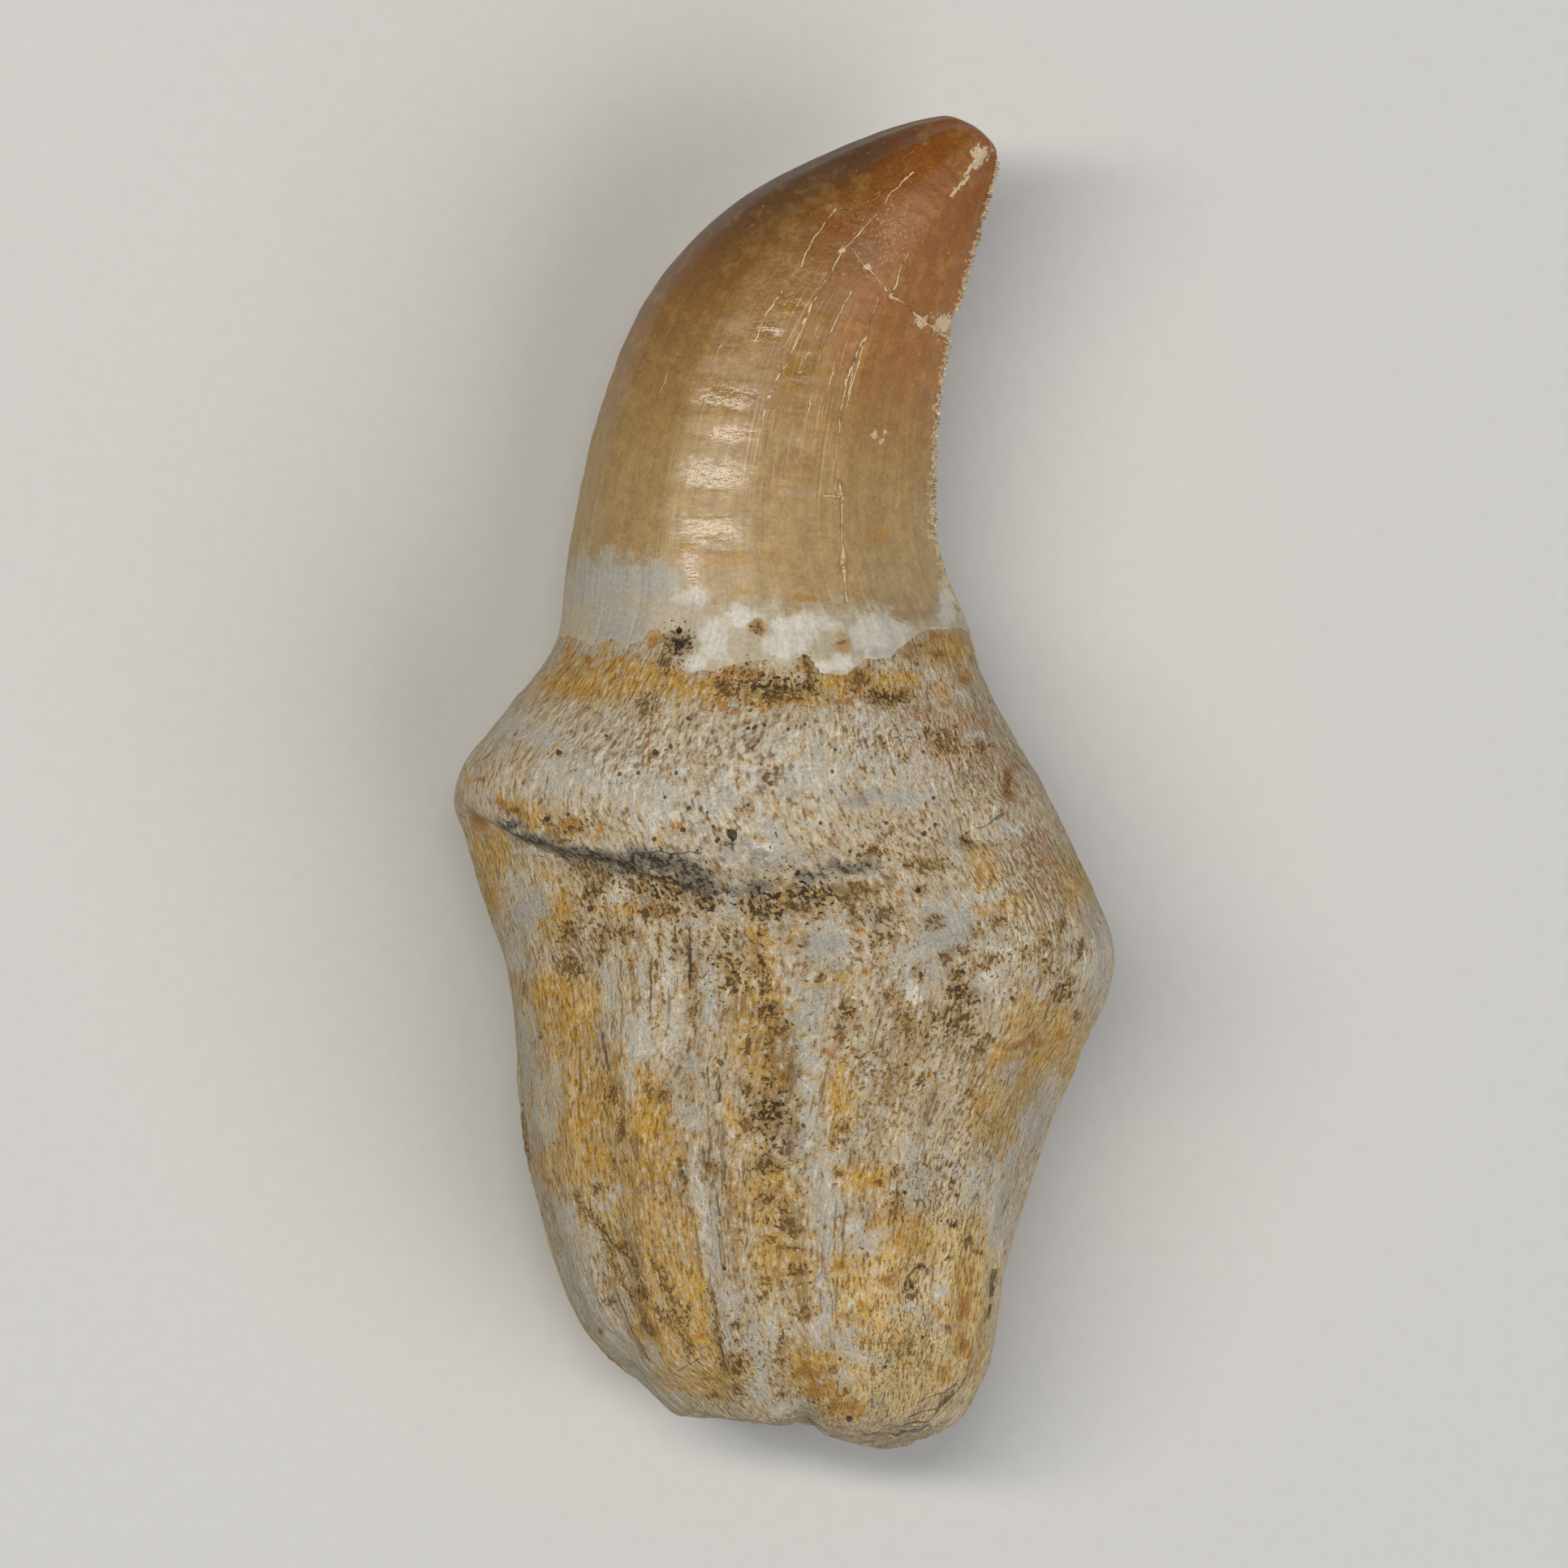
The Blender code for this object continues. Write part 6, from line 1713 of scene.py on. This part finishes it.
# %% Enamel material
def enamel_material():
    """Satin enamel: a ramp down the crown, reddened on one flank and darkened on the other by painted shade,
    with chalk, cracks, their painted shadows and chips on top.
    """
    names = ("flow", "down", "flank", "red", "chalk", "white", "cool", "gold", "chip", "haired", "polish",
             "keel", "brown", "black", "crack", "pore")
    material, tree, shader, marks, ways = start_material("satin fossil enamel", names)
    sources = {name: marks[name]["Fac"] for name in names}
    sources.update(noise_fields(tree, ways, ENAMEL_NOISES))
    frayed(tree, sources, ENAMEL_FRAYED)
    sources.update(drawn_lines(tree, marks, ENAMEL_DRAWN))
    frayed(tree, sources, ENAMEL_DRAWN_FRAYED)
    drift = add_node(tree, "ShaderNodeMath", {0: sources["blotch"], 1: DRIFT_GAIN, 2: DRIFT_START},
                     operation="MULTIPLY_ADD")
    down = add_node(tree, "ShaderNodeMath", {0: sources["down"], 1: drift.outputs[0]}, operation="ADD")
    ramp = add_node(tree, "ShaderNodeValToRGB", {"Fac": down.outputs[0]})
    stops = ramp.color_ramp.elements
    while len(stops) < len(ENAMEL_TONES):
        stops.new(0.5)  # each is moved to its own place below
    for stop, (position, tone) in zip(stops, ENAMEL_TONES):
        stop.position = position
        stop.color = linear(tone)
    colour = layered(tree, sources, ramp.outputs["Color"], ENAMEL_LAYERS)
    surfaced(tree, shader, sources, colour, ENAMEL_DARKEST, ENAMEL_LIGHTNESS, ENAMEL_DEPTH)
    dull = add_node(tree, "ShaderNodeMath", {0: sources["chalk"], 1: sources["brown ground"]},
                    operation="MAXIMUM")
    satin = weighed(tree, sources, ENAMEL_ROUGHNESS, ENAMEL_POLISH)
    roughness = add_node(tree, "ShaderNodeMix", {0: dull.outputs[0], 2: satin, 3: CHALK_ROUGHNESS})
    tree.links.new(roughness.outputs[0], shader.inputs["Roughness"])
    shader.inputs["Specular IOR Level"].default_value = ENAMEL_SHINE
    return material


enamel.data.materials.append(enamel_material())
print("enamel material has", len(enamel.data.materials[0].node_tree.nodes), "nodes")

# %% A plain finish in two tones, for the denticles
TWO_TONE_DETAIL = 3.0
DENTICLE_TONES = ("#8A6A40", "#D2C2A2")
DENTICLE_FINENESS = 1500.0  # cells per metre
DENTICLE_PALE = (0.4, 0.62)  # noise values between which the worn colour sets in
DENTICLE_ROUGHNESS = 0.5


def two_tone_material(name, tones, fineness, spread, roughness):
    """From one tone to the other between two values of a noise, with the same roughness all over."""
    material = bpy.data.materials.new(name)
    material.use_nodes = True
    tree = material.node_tree
    shader = tree.nodes["Principled BSDF"]
    metres = add_node(tree, "ShaderNodeTexCoord").outputs["Object"]
    patchy = add_node(tree, "ShaderNodeTexNoise", {"Vector": metres, "Scale": fineness,
                                                   "Detail": TWO_TONE_DETAIL})
    mask = add_node(tree, "ShaderNodeMapRange", {"Value": patchy.outputs["Fac"], "From Min": spread[0],
                                                 "From Max": spread[1]})
    colour = add_node(tree, "ShaderNodeMix", {0: mask.outputs[0], 6: linear(tones[0]),
                                              7: linear(tones[1])}, data_type="RGBA")
    tree.links.new(colour.outputs[2], shader.inputs["Base Color"])
    shader.inputs["Roughness"].default_value = roughness
    return material


denticles.data.materials.append(two_tone_material(
    "worn enamel of the keel", DENTICLE_TONES, DENTICLE_FINENESS, DENTICLE_PALE, DENTICLE_ROUGHNESS))
print("denticle material has", len(denticles.data.materials[0].node_tree.nodes), "nodes")

# %% [markdown]
# Joining the frame.
# Each piece rides on the tooth's one body, keeps the finish made for it here, and together they stand for the
# plain solid, which is then hidden.

# %% Tell the frame what each piece is
for piece in (bone, enamel, denticles):
    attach(piece, "root")
    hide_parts("tooth")
print("pieces:", [piece.name for piece in (bone, enamel, denticles)])

# %% [markdown]
# A plain table, soft light and a camera overhead.
# The tooth lies on a pale floor. A soft strip of light above its upper left gives the enamel its
# broken streak of shine, a broad soft sheet from the lower right shares the work of lighting it, and
# a pale world fills the shade. Point lights would be simpler, but their shadows are hard and their
# shine is a dot. The camera looks straight down from a metre away through a long lens, as a specimen
# is photographed.

# %% Floor
FLOOR_SIZE = 3.0
FLOOR_DROP = 0.00002  # under the tooth, so that the two don't lie in one plane
PAPER_TONES = ("#C8C6C1", "#CFCDC8")
PAPER_FINENESS = 900.0  # cells of its pulp per metre
PAPER_SPREAD = (0.0, 1.0)
PAPER_ROUGHNESS = 0.9


def floor_plane():
    """A flat square just under the tooth, in matt pale paper."""
    half = FLOOR_SIZE / 2
    corners = [(x, y, -FLOOR_DROP) for x, y in ((-half, -half), (half, -half), (half, half), (-half, half))]
    floor = mesh_object("floor", corners, [(0, 1, 2, 3)])
    floor.data.materials.append(two_tone_material(
        "matt pale paper", PAPER_TONES, PAPER_FINENESS, PAPER_SPREAD, PAPER_ROUGHNESS))
    return floor


floor_plane()
print("floor:", FLOOR_SIZE, "m square")

# %% Lights and world
KEY_FROM = (-0.19, 0.105, 0.57)
KEY_SIZE = (0.58, 0.085)  # a strip that lies across the tooth, for a broad but low shine
KEY_POWER = 2.4
KEY_TINT = "#FFFCF6"
OVERHEAD_FROM = (0.72, -0.48, 0.95)
OVERHEAD_SIZE = (1.0, 1.0)
OVERHEAD_POWER = 9.6
OVERHEAD_TINT = "#F6F9FF"
WORLD_STRENGTH = 0.19
WORLD_TINT = "#F3F4F6"
LOOK_AT = (0.0, 0.0, 0.012)


def soft_light(name, place, size, power, tint):
    """A rectangular area light that faces the tooth, its width along X when seen from above.

    With d the unit way to the tooth, it turns about X by the arcsine of d's y, then about Y by the
    angle whose tangent is d's x over d's z.
    """
    light = bpy.data.lights.new(name, "AREA")
    light.shape = "RECTANGLE"
    light.size, light.size_y = size
    light.energy = power
    light.color = linear(tint)[:3]
    lamp = bpy.data.objects.new(name, light)
    lamp.location = place
    way = np.array(LOOK_AT) - np.array(place)
    way /= np.linalg.norm(way)
    lamp.rotation_euler = (np.arcsin(way[1]), np.arctan2(-way[0], -way[2]), 0.0)
    bpy.context.scene.collection.objects.link(lamp)


soft_light("key", KEY_FROM, KEY_SIZE, KEY_POWER, KEY_TINT)
soft_light("overhead", OVERHEAD_FROM, OVERHEAD_SIZE, OVERHEAD_POWER, OVERHEAD_TINT)
world = bpy.data.worlds.new("studio")
world.use_nodes = True
world.node_tree.nodes["Background"].inputs["Color"].default_value = linear(WORLD_TINT)
world.node_tree.nodes["Background"].inputs["Strength"].default_value = WORLD_STRENGTH
bpy.context.scene.world = world
bpy.context.scene.view_settings.view_transform = "Standard"
print("lights:", KEY_POWER, "W through a strip and", OVERHEAD_POWER, "W through a sheet")

# %% Camera
CAMERA_HEIGHT = 1.0
OUTLINE_HEIGHT = 0.012  # of the tooth's outline over the floor
FRAME_WIDTH = 0.1059  # of the picture, at the outline's height
SENSOR_WIDTH = 36.0  # mm

lens = bpy.data.cameras.new("overhead")
lens.sensor_width = SENSOR_WIDTH
lens.lens = SENSOR_WIDTH * (CAMERA_HEIGHT - OUTLINE_HEIGHT) / FRAME_WIDTH
camera = bpy.data.objects.new("overhead", lens)
camera.location = (0.0, 0.0, CAMERA_HEIGHT)
bpy.context.scene.collection.objects.link(camera)
bpy.context.scene.camera = camera
print("lens:", round(lens.lens, 1), "mm")
